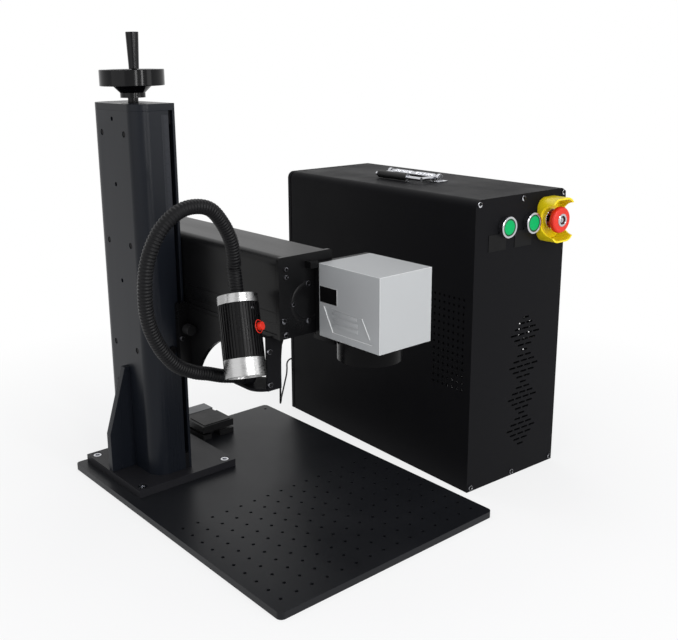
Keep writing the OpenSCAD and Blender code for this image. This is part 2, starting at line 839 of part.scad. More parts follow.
module handwheel_grip() color("black")
    translate([screw_at[0], screw_at[1], rim_z0 + rim_h + spindle_step + loose_gap])
        rotate([0, 0, grip_turn]) translate([grip_radius, 0, 0]) difference() {
            cylinder(d1 = grip_low_d, d2 = grip_d, h = grip_len);
            translate([0, 0, -cut]) cylinder(d = spindle_d + 2 * shaft_gap, h = grip_len);
            translate([0, 0, grip_len - grip_recess])
                cylinder(d = spindle_head_d + 2 * loose_gap, h = grip_recess + cut);
        }

// Carriage inside the column
module carriage_block() color("gray") difference() {
    box([carriage_x0, col_y - carriage_half, carriage_z],
        [carriage_plate_x, col_y + carriage_half, carriage_z + carriage_h]);
    box([carriage_x0 - cut, col_y - rail_half + rail_w, carriage_z - cut],
        [channel_x, col_y + rail_half - rail_w, carriage_z + carriage_h + cut]);
    for (y = [col_y - rail_half, col_y + rail_half])
        box([carriage_x0 - cut, y - rail_w / 2 - rail_gap, carriage_z - cut],
            [col_x + shell_wall + rail_t + rail_gap, y + rail_w / 2 + rail_gap,
                carriage_z + carriage_h + cut]);
    rod_z([screw_at[0], screw_at[1], carriage_z - cut], nut_d, carriage_h + 2 * cut);
}
module lift_nut() color("gold") difference() {
    union() {
        rod_z([screw_at[0], screw_at[1], carriage_z - nut_flange_h], nut_flange_d,
            nut_flange_h);
        rod_z([screw_at[0], screw_at[1], carriage_z], nut_d, nut_h);
    }
    rod_z([screw_at[0], screw_at[1], carriage_z - nut_flange_h - cut],
        screw_d + 2 * shaft_gap, nut_flange_h + nut_h + 2 * cut);
}
module carriage_plate() color("gray")
    box([carriage_plate_x, col_y0 - loose_gap, carriage_z],
        [carriage_plate_x + carriage_plate_t, col_y1 + loose_gap,
            carriage_z + carriage_plate_h]);
module each_wing_screw() {
    for (z = [wing_z0 + wing_screw_in, wing_z0 + wing_h - 2 * wing_screw_in])
        translate([0, 0, z]) children();
}
module yoke_wings() color("black") difference() {
    for (y = [wing_y0, wing_y1])
        box([wing_x0, y, wing_z0], [bracket_x0, y + wing_t, wing_z0 + wing_h]);
    rod_y([knob_at[0], wing_y0 - cut, knob_at[1]], knob_stud_d + 2 * shaft_gap,
        wing_t + 2 * cut);
    rod_y([gib_at[0], wing_y0 - cut, gib_at[1]], m4_d, wing_t + 2 * cut);
    each_wing_screw() for (y = [wing_y0, wing_y1])
        rod_x([bracket_x0 - wing_screw_len, y + wing_t / 2, 0], m4_d, wing_screw_len + cut);
}
module lock_knob() color("black") {
    rod_y([knob_at[0], wing_y0 - loose_gap, knob_at[1]], knob_stud_d,
        wing_t + loose_gap);
    rod_y([knob_at[0], wing_y0 - loose_gap - knob_neck_h, knob_at[1]], knob_neck_d,
        knob_neck_h);
    rod_y([knob_at[0], wing_y0 - loose_gap - knob_neck_h - knob_h, knob_at[1]], knob_d,
        knob_h);
}

// Arm bracket: web beside the column and flange under the arm
module arm_bracket() color("black") difference() {
    union() {
        difference() {
            box([bracket_x0, bracket_y0, arm_z - bracket_drop],
                [bracket_x0 + web_w, bracket_y1, arm_z]);
            rod_x([bracket_x0 - cut, bracket_arc_at[0], bracket_arc_at[1]], 2 * bracket_arc_r,
                web_w + 2 * cut);
        }
        box([bracket_x0, bracket_y0, arm_z - flange_h], [arm_x1, bracket_y1, arm_z]);
    }
    each_wing_screw() for (y = [wing_y0, wing_y1])
        rod_x([bracket_x0 - cut, y + wing_t / 2, 0], m4_d, web_w + 2 * cut);
}

// Arm: tray, hood and end plates
module tray_section() {
    difference() {
        translate([arm_x0, arm_z]) square([arm_w, tray_h]);
        translate([arm_x0 - cut, arm_z + groove_z0])
            square([groove_in + cut, groove_z1 - groove_z0]);
        translate([arm_x1 - groove_in, arm_z + groove_z0])
            square([groove_in + cut, groove_z1 - groove_z0]);
        translate([arm_x0 + tray_wall, arm_z + tray_floor])
            square([arm_w - 2 * tray_wall, tray_h]);
    }
}
module arm_base() color("black") difference() {
    union() {
        along_y(arm_y0, arm_y1) tray_section();
        rod_z([cable_at[0], cable_at[1], arm_z - arm_gland_h], arm_gland_d, arm_gland_h + 1);
    }
}
module arm_hood() color("black") along_y(arm_y0, arm_y1) translate([arm_x0, arm_z + tray_h])
    difference() {
        arch_outline(arm_w, arm_h - tray_h, hood_r);
        translate([hood_t, -cut])
            arch_outline(arm_w - 2 * hood_t, arm_h - tray_h - hood_t + cut, hood_r - hood_t);
    }
module arm_end_plates() color("black") {
    difference() {
        union() {
            along_y(front_y, arm_y0) translate([arm_x0, arm_z])
                arch_outline(arm_w, arm_h, end_r);
            box([head_x + adapter_in, back_y, arm_z], [arm_x1 - adapter_in, front_y + 1,
                head_z + head_h - 2 * adapter_in]);
        }
        rod_y([beam_x, back_y - cut, beam_z], beam_bore, adapter_t + end_t + 2 * cut);
        for (s = end_screws) rod_y([s[0], front_y - cut, arm_z + s[1]], end_screw_d,
            end_t + 2 * cut);
        for (s = ring_screws) rod_y([s[0], front_y - cut, arm_z + s[1]], end_screw_d,
            end_t + 2 * cut);
    }
    along_y(arm_y1, arm_y1 + end_t) translate([arm_x0, arm_z])
        arch_outline(arm_w, arm_h, end_r);
    // Plug that stands on the front end plate
    box([head_x - plug_gap - plug_w, front_y - plug_t, arm_z + plug_z],
        [head_x - plug_gap, front_y, arm_z + plug_z + plug_h]);
}
module screw_head_y(x, y, z, head_d, len) {
    difference() {
        rod_y([x, y - end_screw_head_h, z], head_d, end_screw_head_h);
        rod_y([x, y - end_screw_head_h - cut, z], end_screw_d - 0.5, socket_depth + cut);
    }
    rod_y([x, y, z], end_screw_d, len);
}
module arm_screws() color("silver") {
    for (s = end_screws) screw_head_y(s[0], front_y, arm_z + s[1], end_screw_head_d, end_t);
    for (s = ring_screws) screw_head_y(s[0], front_y, arm_z + s[1], ring_screw_head_d, end_t);
    rod_y([gib_at[0], wing_y0 - gib_head_h, gib_at[1]], m4_head_d, gib_head_h);
    rod_y([gib_at[0], wing_y0, gib_at[1]], m4_d, wing_t);
    each_wing_screw() for (y = [wing_y0, wing_y1]) {
        rod_x([bracket_x0 - wing_screw_len, y + wing_t / 2, 0], m4_d, wing_screw_len + web_w);
        rod_x([bracket_x0 + web_w, y + wing_t / 2, 0], m4_head_d, m4_head_h);
    }
    for (z = leg_screws_z) rod_y([leg_screw_x, goose_y0 - leg_screw_head_h, z],
        m4_head_d, leg_screw_head_h);
    rod_z([shelf_screw_at[0], shelf_screw_at[1], head_z - shelf_t - shelf_screw_head_h],
        m4_head_d, shelf_screw_head_h);
    rod_z([shelf_screw_at[0], shelf_screw_at[1], head_z - shelf_t], m4_d, shelf_t);
}

// Beam tube in the arm: expander, isolator and fibre end on two clamps
module beam_optics() color("gray") {
    rod_y([beam_x, front_y + end_t, beam_z], optic_small_d, optic_len[0]);
    rod_y([beam_x, arm_y0 + optic_len[0], beam_z], optic_d, optic_len[1]);
    rod_y([beam_x, arm_y0 + optic_len[0] + optic_len[1], beam_z], optic_small_d,
        optic_len[2]);
    for (y = [arm_y0 + optic_len[0] - clamp_l, arm_y0 + optic_len[0] + optic_len[1]])
        box([beam_x - clamp_w, y, arm_z + tray_floor],
            [beam_x + clamp_side, y + clamp_l, beam_z]);
}

// Scan head
module head_back_plate() color("lightgray") difference() {
    box([head_x, house_y1, head_z], [head_x + head_w, back_y, head_z + head_h]);
    rod_y([beam_x, house_y1 - cut, beam_z], beam_bore, back_t + 2 * cut);
}
module head_housing() color("black") {
    difference() {
        box([head_x, house_y0, head_z], [head_x + head_w, house_y1, head_z + head_h]);
        box([head_x + house_wall, house_y0 + house_wall, head_z + house_wall],
            [head_x + head_w - house_wall, house_y1 + cut, head_z + head_h - house_wall]);
        rod_z([lens_at[0], lens_at[1], head_z - cut], lens_spigot_d, house_wall + 2 * cut);
        translate([head_x - cut, 0, head_z]) rotate([90, 0, 90])
            linear_extrude(pocket_depth + cut) polygon(pocket);
    }
    box([head_x - label_t, label_y, head_z + label_z],
        [head_x, label_y + label_w, head_z + label_z + label_h]);
}
module scan_motors() color("silver") difference() {
    union() {
        rod_z([mirror_x_at[0], mirror_x_at[1], motor_z0], motor_d,
            head_z + head_h - house_wall - motor_z0);
        rod_y([mirror_y_at[0], house_y0 + house_wall, beam_z], motor_d,
            motor_y1 - house_y0 - house_wall);
    }
    rod_z([mirror_x_at[0], mirror_x_at[1], motor_z0 - cut],
        mirror_shaft_d + 2 * shaft_gap, motor_bore_len + cut);
    rod_y([mirror_y_at[0], motor_y1 - motor_bore_len, beam_z], mirror_shaft_d + 2 * shaft_gap,
        motor_bore_len + cut);
}
module scan_mirror_x() color("white") translate(mirror_x_at) {
    rotate([0, 0, 45]) cube([mirror_a[0], mirror_t, mirror_a[1]], center = true);
    translate([0, 0, mirror_a[1] / 2 - 1]) cylinder(d = mirror_shaft_d,
        h = mirror_gap - mirror_a[1] / 2 + mirror_shaft_in);
}
module scan_mirror_y() color("white") translate(mirror_y_at) {
    rotate([0, 45, 0]) cube([mirror_b[0], mirror_b[1], mirror_t], center = true);
    rod_y([0, 1 - mirror_gap - mirror_shaft_in, 0], mirror_shaft_d,
        mirror_gap - mirror_b[1] / 2 + mirror_shaft_in);
}
module head_shelf() color("black") difference() {
    box([head_x, shelf_y0, head_z - shelf_t], [head_x + shelf_w, front_y, head_z]);
    rod_z([lens_at[0], lens_at[1], head_z - shelf_t - cut], lens_d + 2 * cut,
        shelf_t + 2 * cut);
    rod_z([shelf_screw_at[0], shelf_screw_at[1], head_z - shelf_t - cut], m4_d,
        shelf_t + 2 * cut);
}
module lens_barrel() color("black") translate([lens_at[0], lens_at[1], 0]) difference() {
    union() {
        rod_z([0, 0, head_z - lens_h], lens_d, lens_h);
        rod_z([0, 0, head_z - 1], lens_spigot_d - 2 * seat_gap, house_wall + 1);
    }
    rod_z([0, 0, head_z - lens_h - cut], lens_rim_d, glass_inset + cut);
    rod_z([0, 0, head_z - lens_h - cut], lens_bore_d, lens_h + house_wall + 3 * cut);
    rod_z([0, 0, head_z - lens_h], lens_rim_d - 6, glass_inset + glass_t);
}
module lens_glass() color("steelblue")
    rod_z([lens_at[0], lens_at[1], head_z - lens_h + glass_inset], lens_rim_d - 6, glass_t);

// Gooseneck bracket and gooseneck
module gooseneck_bracket() color("black") {
    box([goose_x0 + goose_r, goose_y0, foot_plate_z],
        [goose_x1, goose_y1, foot_plate_z + foot_plate_t]);
    box([goose_x0, goose_y0 + goose_r, foot_plate_z],
        [goose_x0 + goose_r, goose_y1, foot_plate_z + foot_plate_t]);
    rod_z([goose_x0 + goose_r, goose_y0 + goose_r, foot_plate_z], 2 * goose_r, foot_plate_t);
    box([leg_x0, goose_y0, foot_plate_z], [goose_x1, goose_y0 + foot_plate_t, arm_z]);
    box([arm_x0, goose_y0, arm_z - foot_plate_t], [goose_x1, goose_y0 + leg_lip, arm_z]);
    translate(neck_start) rotate([0, 90 + neck_rise, 0])
        cylinder(d = ferrule_d, h = ferrule_len);
}
module gooseneck() color("black") {
    c = places(dense(neck_route, 12), neck_rings);
    rs = [for (k = [0 : 2 * neck_ribs]) neck_d / 2 - (k % 2 == 0 ? 0 : neck_valley)];
    swept_bored(c, rs, neck_sides, [0, 1, 0], neck_bore_r, bore_step);
}

// Lamp, along its own axis from the top down
module at_lamp() translate(lamp_top) rotate([lamp_back, 0, 0]) rotate([0, lamp_tilt, 0])
    children();
module lamp_cap() color("silver") at_lamp() {
    translate([0, 0, -1]) cylinder(d = lamp_collar_d, h = lamp_collar_h + 1);
    translate([0, 0, -lamp_cap_h]) cylinder(d1 = lamp_d, d2 = lamp_cap_d, h = lamp_cap_h);
}
module lamp_body() color("black") at_lamp() translate([0, 0, -lamp_cap_h]) difference() {
    union() {
        translate([0, 0, -lamp_body_h]) linear_extrude(lamp_body_h) difference() {
            circle(d = lamp_d);
            for (k = [0 : lamp_flutes - 1]) rotate(360 * (k + 0.5) / lamp_flutes)
                translate([lamp_d / 2 - flute_depth, -flute_w / 2])
                    square([flute_depth + cut, flute_w]);
        }
        lamp_button_place() cylinder(d = lamp_ring_d, h = lamp_d / 2 + lamp_ring_out);
    }
    translate([0, 0, -lamp_body_h - cut])
        cylinder(d = lamp_d / 2, h = lamp_body_h - lamp_wall + cut);
    lamp_button_place() translate([0, 0, lamp_d / 2 + lamp_ring_out - lamp_button_depth])
        cylinder(d = lamp_button_d + 2 * shaft_gap, h = lamp_button_depth + cut);
}
module lamp_button_place() translate([0, 0, lamp_cap_h + lamp_button_z])
    rotate([0, 0, lamp_button_turn]) rotate([0, 90, 0]) children();
module lamp_button() color("red") at_lamp() translate([0, 0, -lamp_cap_h])
    lamp_button_place()
        translate([0, 0, lamp_d / 2 + lamp_ring_out + lamp_button_out - lamp_button_depth])
            cylinder(d = lamp_button_d, h = lamp_button_depth);
module lamp_bezel() color("silver") at_lamp() translate([0, 0, -lamp_len]) {
    difference() {
        cylinder(d = lamp_d, h = lamp_bezel_h);
        translate([0, 0, -cut]) cylinder(d = lamp_d - 2 * lamp_wall,
            h = lamp_bezel_h - lamp_wall + cut);
        translate([0, 0, -cut]) cylinder(d = lamp_d / 2, h = lamp_bezel_h + 2 * cut);
    }
    translate([0, 0, lamp_glass_in])
        cylinder(d = lamp_d - 2 * lamp_wall, h = lamp_glass_t);
}

// Cabinet, in its own frame
module at_cabinet() translate([cab_at[0], cab_at[1], 0]) rotate([0, 0, cab_yaw]) children();
function cab(u, v, w) = [cab_at[0] + u * cos(cab_yaw) - v * sin(cab_yaw),
    cab_at[1] + u * sin(cab_yaw) + v * cos(cab_yaw), w];
module inset_arch(s) translate([s, s])
    arch_outline(cab_w - 2 * s, cab_h - 2 * s, max(cab_r - s, 1));
module perforations() {
    for (i = [0 : perf_cols - 1], j = [0 : perf_rows - 1])
        rod_x([-cut, perf_v + i * perf_pitch,
            perf_w + j * perf_pitch_w], perf_d, cab_w + 2 * cut);
}
module cabinet_wrap() color("black") at_cabinet() difference() {
    union() {
        along_y(panel_t, wrap_v1) difference() {
            arch_outline(cab_w, cab_h, cab_r);
            translate([cab_sheet, -cut]) arch_outline(cab_w - 2 * cab_sheet,
                cab_h - cab_sheet + cut, cab_r - cab_sheet);
        }
        for (v = [panel_t, wrap_v1 - cab_sheet]) along_y(v, v + cab_sheet) difference() {
            inset_arch(0);
            inset_arch(flange_in);
        }
    }
    perforations();
    each_panel_screw() rod_y([0, -cut, 0], m4_d, cab_d + 2 * cut);
    for (v = handle_v) for (s = [-1, 1]) rod_z([pivot_u + s * handle_screw_u, v,
        cab_h - cab_sheet - cut], m4_d - 1, cab_sheet + 2 * cut);
}
module each_panel_screw() {
    for (u = [screw_in, cab_w / 2, cab_w - screw_in], w = [screw_in, cab_h - screw_in])
        translate([u, 0, w]) children();
}
module cabinet_base() color("black") at_cabinet() {
    v0 = panel_t + cab_sheet;
    v1 = wrap_v1 - cab_sheet;
    box([cab_sheet, v0, 0], [cab_w - cab_sheet, v1, cab_sheet]);
    box([cab_sheet, v0, 0], [2 * cab_sheet, v1, tray_up]);
    box([cab_w - 2 * cab_sheet, v0, 0], [cab_w - cab_sheet, v1, tray_up]);
    difference() {
        for (v = [v0, v1 - cab_sheet])
            box([cab_sheet, v, 0], [cab_w - cab_sheet, v + cab_sheet, lip_up]);
        each_panel_screw() rod_y([0, -cut, 0], m4_d, cab_d + 2 * cut);
    }
}
module vent_slot(u, w) translate([u, w]) {
    translate([-vent_long / 2 + vent_high / 2, -vent_high / 2])
        square([vent_long - vent_high, vent_high]);
    for (s = [-1, 1]) translate([s * (vent_long - vent_high) / 2, 0]) circle(d = vent_high);
}
// Diamonds of slots, each sharing its end row with the next
module vents() {
    span = 2 * vent_most - 2;
    for (k = [0 : vent_groups * span]) {
        count = vent_most - abs(k % span - vent_most + 1);
        for (m = [0 : count - 1]) vent_slot(vent_u + (m - (count - 1) / 2) * vent_step,
            vent_top - k * vent_pitch);
    }
}
module front_panel() color("black") at_cabinet() along_y(0, panel_t) difference() {
    inset_arch(0);
    vents();
    for (u = button_u) translate([u, button_w]) circle(d = barrel_d);
    translate(stop_at) circle(d = barrel_d);
    for (u = [screw_in, cab_w / 2, cab_w - screw_in], w = [screw_in, cab_h - screw_in])
        translate([u, w]) circle(d = m4_d);
}
module panel_screws() color("gray") at_cabinet() each_panel_screw() {
    difference() {
        rod_y([0, -panel_screw_head_h, 0], panel_screw_head_d, panel_screw_head_h);
        rod_y([0, -panel_screw_head_h - cut, 0], 3, cut + 1);
    }
    rod_y([0, 0, 0], m4_d, panel_t + 2 * cab_sheet + 3);
    difference() {
        rod_y([0, cab_d, 0], panel_screw_head_d, panel_screw_head_h);
        rod_y([0, cab_d + 1, 0], 3, 2);
    }
    rod_y([0, wrap_v1 - 2 * cab_sheet - 3, 0], m4_d, cab_d - wrap_v1 + 2 * cab_sheet + 3);
}
module bezel(u, w, v0, bore, stem) {
    difference() {
        union() {
            rod_y([u, v0 - bezel_out, w], bezel_d, bezel_out);
            rod_y([u, v0, w], barrel_d, barrel_len - v0);
        }
        rod_y([u, v0 - bezel_out - cut, w], bore, bezel_out - 1 + cut);
        rod_y([u, v0 - bezel_out, w], stem, barrel_len + bezel_out + 2 * cut - v0);
    }
}
module button_bezels() color("silver") at_cabinet() {
    for (u = button_u) bezel(u, button_w, 0, button_d + 2 * loose_gap,
        button_stem_d + 2 * shaft_gap);
    bezel(stop_at[0], stop_at[1], -guard_t, stop_stem_d + 2 * shaft_gap,
        stop_stem_d + 2 * shaft_gap);
}
module button_cap(u) {
    rod_y([u, -button_out, button_w], button_d, button_cap_t);
    rod_y([u, -button_out + button_cap_t - 1, button_w], button_stem_d,
        button_stem_len);
}
module button_left() color("green") at_cabinet() button_cap(button_u[0]);
module button_right() color("green") at_cabinet() button_cap(button_u[1]);
module guard_outline(in_by) translate([guard_u + in_by, stop_at[1] - guard_h / 2 + in_by])
    round_rect(guard_w - 2 * in_by, guard_h - 2 * in_by, guard_r - in_by);
module stop_guard() color("gold") at_cabinet() difference() {
    along_y(-guard_out, 0) guard_outline(0);
    along_y(-guard_out - cut, -guard_t) guard_outline(guard_wall);
    rod_x([guard_u - cut, -guard_out - 2, stop_at[1]], 2 * guard_scoop_r, guard_w + 2 * cut);
    rod_y([stop_at[0], -guard_t - cut, stop_at[1]], barrel_d, guard_t + 2 * cut);
}
module stop_plunger() color("gray") at_cabinet()
    rod_y([stop_at[0], -stop_out + stop_cap_t / 2, stop_at[1]], stop_stem_d,
        stop_out + stop_stem_in);
module stop_mushroom() color("red") at_cabinet() translate([stop_at[0], -stop_out, stop_at[1]])
    rotate([-90, 0, 0]) difference() {
        union() {
            rotate_extrude() intersection() {
                translate([-stop_d / 2, 0]) round_rect(stop_d, stop_cap_t, stop_round);
                square([stop_d, stop_cap_t]);
            }
            translate([0, 0, -lock_out]) cylinder(d = lock_d, h = lock_out + 1);
        }
        translate([0, 0, -lock_out - cut]) cylinder(d = lock_bore_d, h = lock_depth + cut);
        translate([0, 0, stop_cap_t / 2 - loose_gap])
            cylinder(d = stop_stem_d + 2 * shaft_gap, h = stop_cap_t);
    }
module label_tags() color("silver") at_cabinet() difference() {
    for (u = tag_u) box([u - tag_w / 2, -tag_t, tag_mid - tag_h / 2],
        [u + tag_w / 2, 0, tag_mid + tag_h / 2]);
    for (u = button_u) rod_y([u, -tag_t - cut, button_w], bezel_d + 2 * seat_gap,
        tag_t + 2 * cut);
}
module handle_brackets() color("silver") at_cabinet() for (v = handle_v) difference() {
    union() {
        box([pivot_u - lug_base_w / 2, v - lug_base_l / 2, cab_h],
            [pivot_u + lug_base_w / 2, v + lug_base_l / 2, cab_h + lug_base_t]);
        box([pivot_u - lug_w / 2, v - lug_t / 2, cab_h],
            [pivot_u + lug_w / 2, v + lug_t / 2, cab_h + pivot_h]);
        rod_y([pivot_u, v - lug_t / 2, cab_h + pivot_h], lug_w, lug_t);
    }
    rod_y([pivot_u, v - lug_t, cab_h + pivot_h], pivot_d + 2 * shaft_gap, 2 * lug_t);
}
module handle_bail() color("silver") at_cabinet() {
    h = cab_h + pivot_h;
    inner = handle_half - 3;
    rod_y([pivot_u - bail_reach, pivot_v - inner - bail_d / 2, h], bail_d,
        2 * inner + bail_d);
    for (s = [-1, 1]) {
        rod_x([pivot_u - bail_reach, pivot_v + s * inner, h], bail_d - 0.5, bail_reach);
        rod_y([pivot_u, pivot_v + s * inner - bail_d / 2, h], bail_d + 1, bail_d);
    }
    for (v = [pivot_v - inner - bail_d / 2 - pin_out, pivot_v + inner])
        rod_y([pivot_u, v, h], pivot_d, pin_out + bail_d / 2);
    rod_y([pivot_u, pivot_v - inner, h], handle_spring_d, 2 * inner);
    rod_y([pivot_u - bail_reach, pivot_v - handle_len / 2 + handle_grip_back, h],
        handle_grip_d, handle_len);
}
module laser_source() color("gray") at_cabinet() {
    translate([source_at[0], source_at[1], cab_sheet]) cube(source_size);
    translate([supply_at[0], supply_at[1], cab_sheet + source_size[2]]) cube(supply_size);
}
module rear_panel() color("black") at_cabinet() difference() {
    union() {
        along_y(cab_d - rear_t, cab_d) inset_arch(0);
        along_y(wrap_v1 + gap_v, cab_d) difference() {
            inset_arch(0);
            inset_arch(gap_in + 3);
        }
        along_y(wrap_v1, wrap_v1 + gap_v) difference() {
            inset_arch(gap_in);
            inset_arch(gap_in + 6);
        }
    }
    each_panel_screw() rod_y([0, wrap_v1 - cut, 0], m4_d, cab_d - wrap_v1 + 2 * cut);
    for (k = [0 : grill_rings - 1]) difference() {
        rod_y([fan_at[0], cab_d - rear_t - cut, fan_at[1]],
            2 * (grill_first + k * grill_step + grill_slot / 2), rear_t + 2 * cut);
        rod_y([fan_at[0], cab_d - rear_t - 2 * cut, fan_at[1]],
            2 * (grill_first + k * grill_step - grill_slot / 2), rear_t + 4 * cut);
        for (a = [45, 135]) translate([fan_at[0], cab_d - rear_t, fan_at[1]])
            rotate([0, a, 0]) cube([grill_bar, 4 * rear_t, grill_reach], center = true);
    }
    box([inlet_at[0] - inlet_body_w / 2, cab_d - rear_t - cut, inlet_at[1] - inlet_body_h / 2],
        [inlet_at[0] + inlet_body_w / 2, cab_d + cut, inlet_at[1] + inlet_body_h / 2]);
    rod_y([gland_at[0], cab_d - rear_t - cut, gland_at[1]], gland_stem_d, rear_t + 2 * cut);
}
// Mains inlet and cable gland in the rear panel
module rear_fittings() color("dimgray") at_cabinet() {
    difference() {
        union() {
            box([inlet_at[0] - inlet_w / 2, cab_d, inlet_at[1] - inlet_h / 2],
                [inlet_at[0] + inlet_w / 2, cab_d + inlet_flange, inlet_at[1] + inlet_h / 2]);
            box([inlet_at[0] - inlet_body_w / 2, cab_d - inlet_depth,
                inlet_at[1] - inlet_body_h / 2],
                [inlet_at[0] + inlet_body_w / 2, cab_d, inlet_at[1] + inlet_body_h / 2]);
        }
        box([inlet_at[0] - inlet_body_w / 2 + inlet_wall, cab_d - inlet_well,
            inlet_at[1] - inlet_body_h / 2 + inlet_wall],
            [inlet_at[0] + inlet_body_w / 2 - inlet_wall, cab_d + inlet_flange + cut,
            inlet_at[1] + inlet_body_h / 2 - inlet_wall]);
    }
    for (s = [-1, 0, 1])
        box([inlet_at[0] + s * pin_pitch - pin_w / 2, cab_d - inlet_well, inlet_at[1] - pin_h / 2],
            [inlet_at[0] + s * pin_pitch + pin_w / 2, cab_d, inlet_at[1] + pin_h / 2]);
    rod_y([gland_at[0], cab_d, gland_at[1]], gland_d, gland_len);
    rod_y([gland_at[0], cab_d - rear_t - gland_stem_in, gland_at[1]], gland_stem_d,
        rear_t + gland_stem_in);
}
module fan_frame() color("dimgray") at_cabinet() difference() {
    union() {
        difference() {
            box([fan_at[0] - fan_side / 2, fan_v1 - fan_t, fan_at[1] - fan_side / 2],
                [fan_at[0] + fan_side / 2, fan_v1, fan_at[1] + fan_side / 2]);
            rod_y([fan_at[0], fan_v1 - fan_t - cut, fan_at[1]], fan_bore, fan_t + 2 * cut);
        }
        rod_y([fan_at[0], fan_v1 - fan_t, fan_at[1]], fan_hub, fan_plate_t);
        for (a = [0, 90]) translate([fan_at[0], fan_v1 - fan_t + 1.5, fan_at[1]])
            rotate([0, a, 0]) cube([fan_strut, 3, fan_side - 3], center = true);
    }
    rod_y([fan_at[0], fan_v1 - fan_t - cut, fan_at[1]], fan_shaft_d + 2 * shaft_gap, 10);
}
module fan_rotor() color("dimgray") at_cabinet()
    translate([fan_at[0], fan_v1 - fan_t, fan_at[1]]) rotate([-90, 0, 0]) {
        translate([0, 0, 1]) cylinder(d = fan_shaft_d, h = 6);
        translate([0, 0, 6]) cylinder(d = fan_hub, h = fan_t - 8);
        for (k = [0 : blade_count - 1]) rotate([0, 0, k * 360 / blade_count])
            translate([blade_root + blade_len / 2, 0, fan_t / 2 + 2]) rotate([blade_pitch, 0, 0])
                cube([blade_len + 4, blade_t, blade_w], center = true);
    }

// Foot switch on the base plate, its rear housing behind the treadle
module pedal_base() color("gray") difference() {
    union() {
        box([pedal_at[0], pedal_at[1], plate_t],
            [pedal_at[0] + pedal_w, pedal_at[1] + pedal_d, plate_t + pedal_base_h]);
        box([pedal_at[0], pedal_at[1] + tread_d, plate_t],
            [pedal_at[0] + pedal_w, pedal_at[1] + pedal_d, plate_t + pedal_rear_h]);
        for (x = [0, pedal_w - cheek_t])
            box([pedal_at[0] + x, pedal_at[1] + tread_d - cheek_l, plate_t],
                [pedal_at[0] + x + cheek_t, pedal_at[1] + tread_d + 1, plate_t + cheek_h]);
        rod_y([pedal_at[0] + pedal_w / 2, pedal_at[1] + pedal_d - 1,
            plate_t + pedal_base_h / 2], pedal_gland_d, pedal_gland_len);
    }
    box([pedal_at[0] + pedal_foot[0], pedal_at[1] - cut, plate_t - cut],
        [pedal_at[0] + pedal_foot[1], pedal_at[1] + pedal_foot[2], plate_t + pedal_base_h + cut]);
    rod_x([pedal_at[0] - cut, pedal_at[1] + tread_d - pedal_pin_in, plate_t + pedal_pin_z],
        pedal_pin_d + 2 * shaft_gap, pedal_w + 2 * cut);
}
module pedal_treadle() color("silver") {
    z0 = plate_t + pedal_base_h + pedal_gap;
    side = cheek_t + 2 * loose_gap;
    box([pedal_at[0], pedal_at[1], z0],
        [pedal_at[0] + pedal_w, pedal_at[1] + tread_d - cheek_l - 1, z0 + pedal_h]);
    box([pedal_at[0] + side, pedal_at[1] + tread_d - cheek_l - 2, z0],
        [pedal_at[0] + pedal_w - side, pedal_at[1] + tread_d - loose_gap - 1, z0 + pedal_h]);
    rod_x([pedal_at[0], pedal_at[1] + tread_d - pedal_pin_in, plate_t + pedal_pin_z],
        pedal_pin_d, pedal_w);
    box([pedal_at[0] + pad_in, pedal_at[1] + pad_front, z0 + pedal_h],
        [pedal_at[0] + pedal_w - pad_in, pedal_at[1] + pad_front + pad_l, z0 + pedal_h + pad_t]);
}

// Cable from the arm to the cabinet's back, a smooth tube
module arm_cable() color("black") {
    c = places(dense(cable_route, 10), [for (k = [0 : cable_rings]) k / cable_rings]);
    swept(c, [for (k = c) cable_d / 2], cable_sides, [0, 1, 0]);
}

base_plate();
column_foot();
foot_bolts();
column_shell();
column_cover();
column_cap();
column_screws();
bearing_blocks();
gusset();
guide_rails();
height_scale();
lead_screw();
handwheel();
handwheel_grip();
carriage_block();
lift_nut();
carriage_plate();
yoke_wings();
lock_knob();
arm_bracket();
arm_base();
arm_hood();
arm_end_plates();
arm_screws();
beam_optics();
head_back_plate();
head_housing();
scan_motors();
scan_mirror_x();
scan_mirror_y();
head_shelf();
lens_barrel();
lens_glass();
gooseneck_bracket();
gooseneck();
lamp_cap();
lamp_body();
lamp_bezel();
lamp_button();
arm_cable();
cabinet_wrap();
cabinet_base();
front_panel();
panel_screws();
button_bezels();
button_left();
button_right();
stop_guard();
stop_plunger();
stop_mushroom();
handle_brackets();
handle_bail();
laser_source();
rear_panel();
rear_fittings();
fan_frame();
fan_rotor();
pedal_base();
pedal_treadle();
label_tags();
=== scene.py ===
import json
import math

import bmesh
import bpy
from mathutils import Matrix, Vector

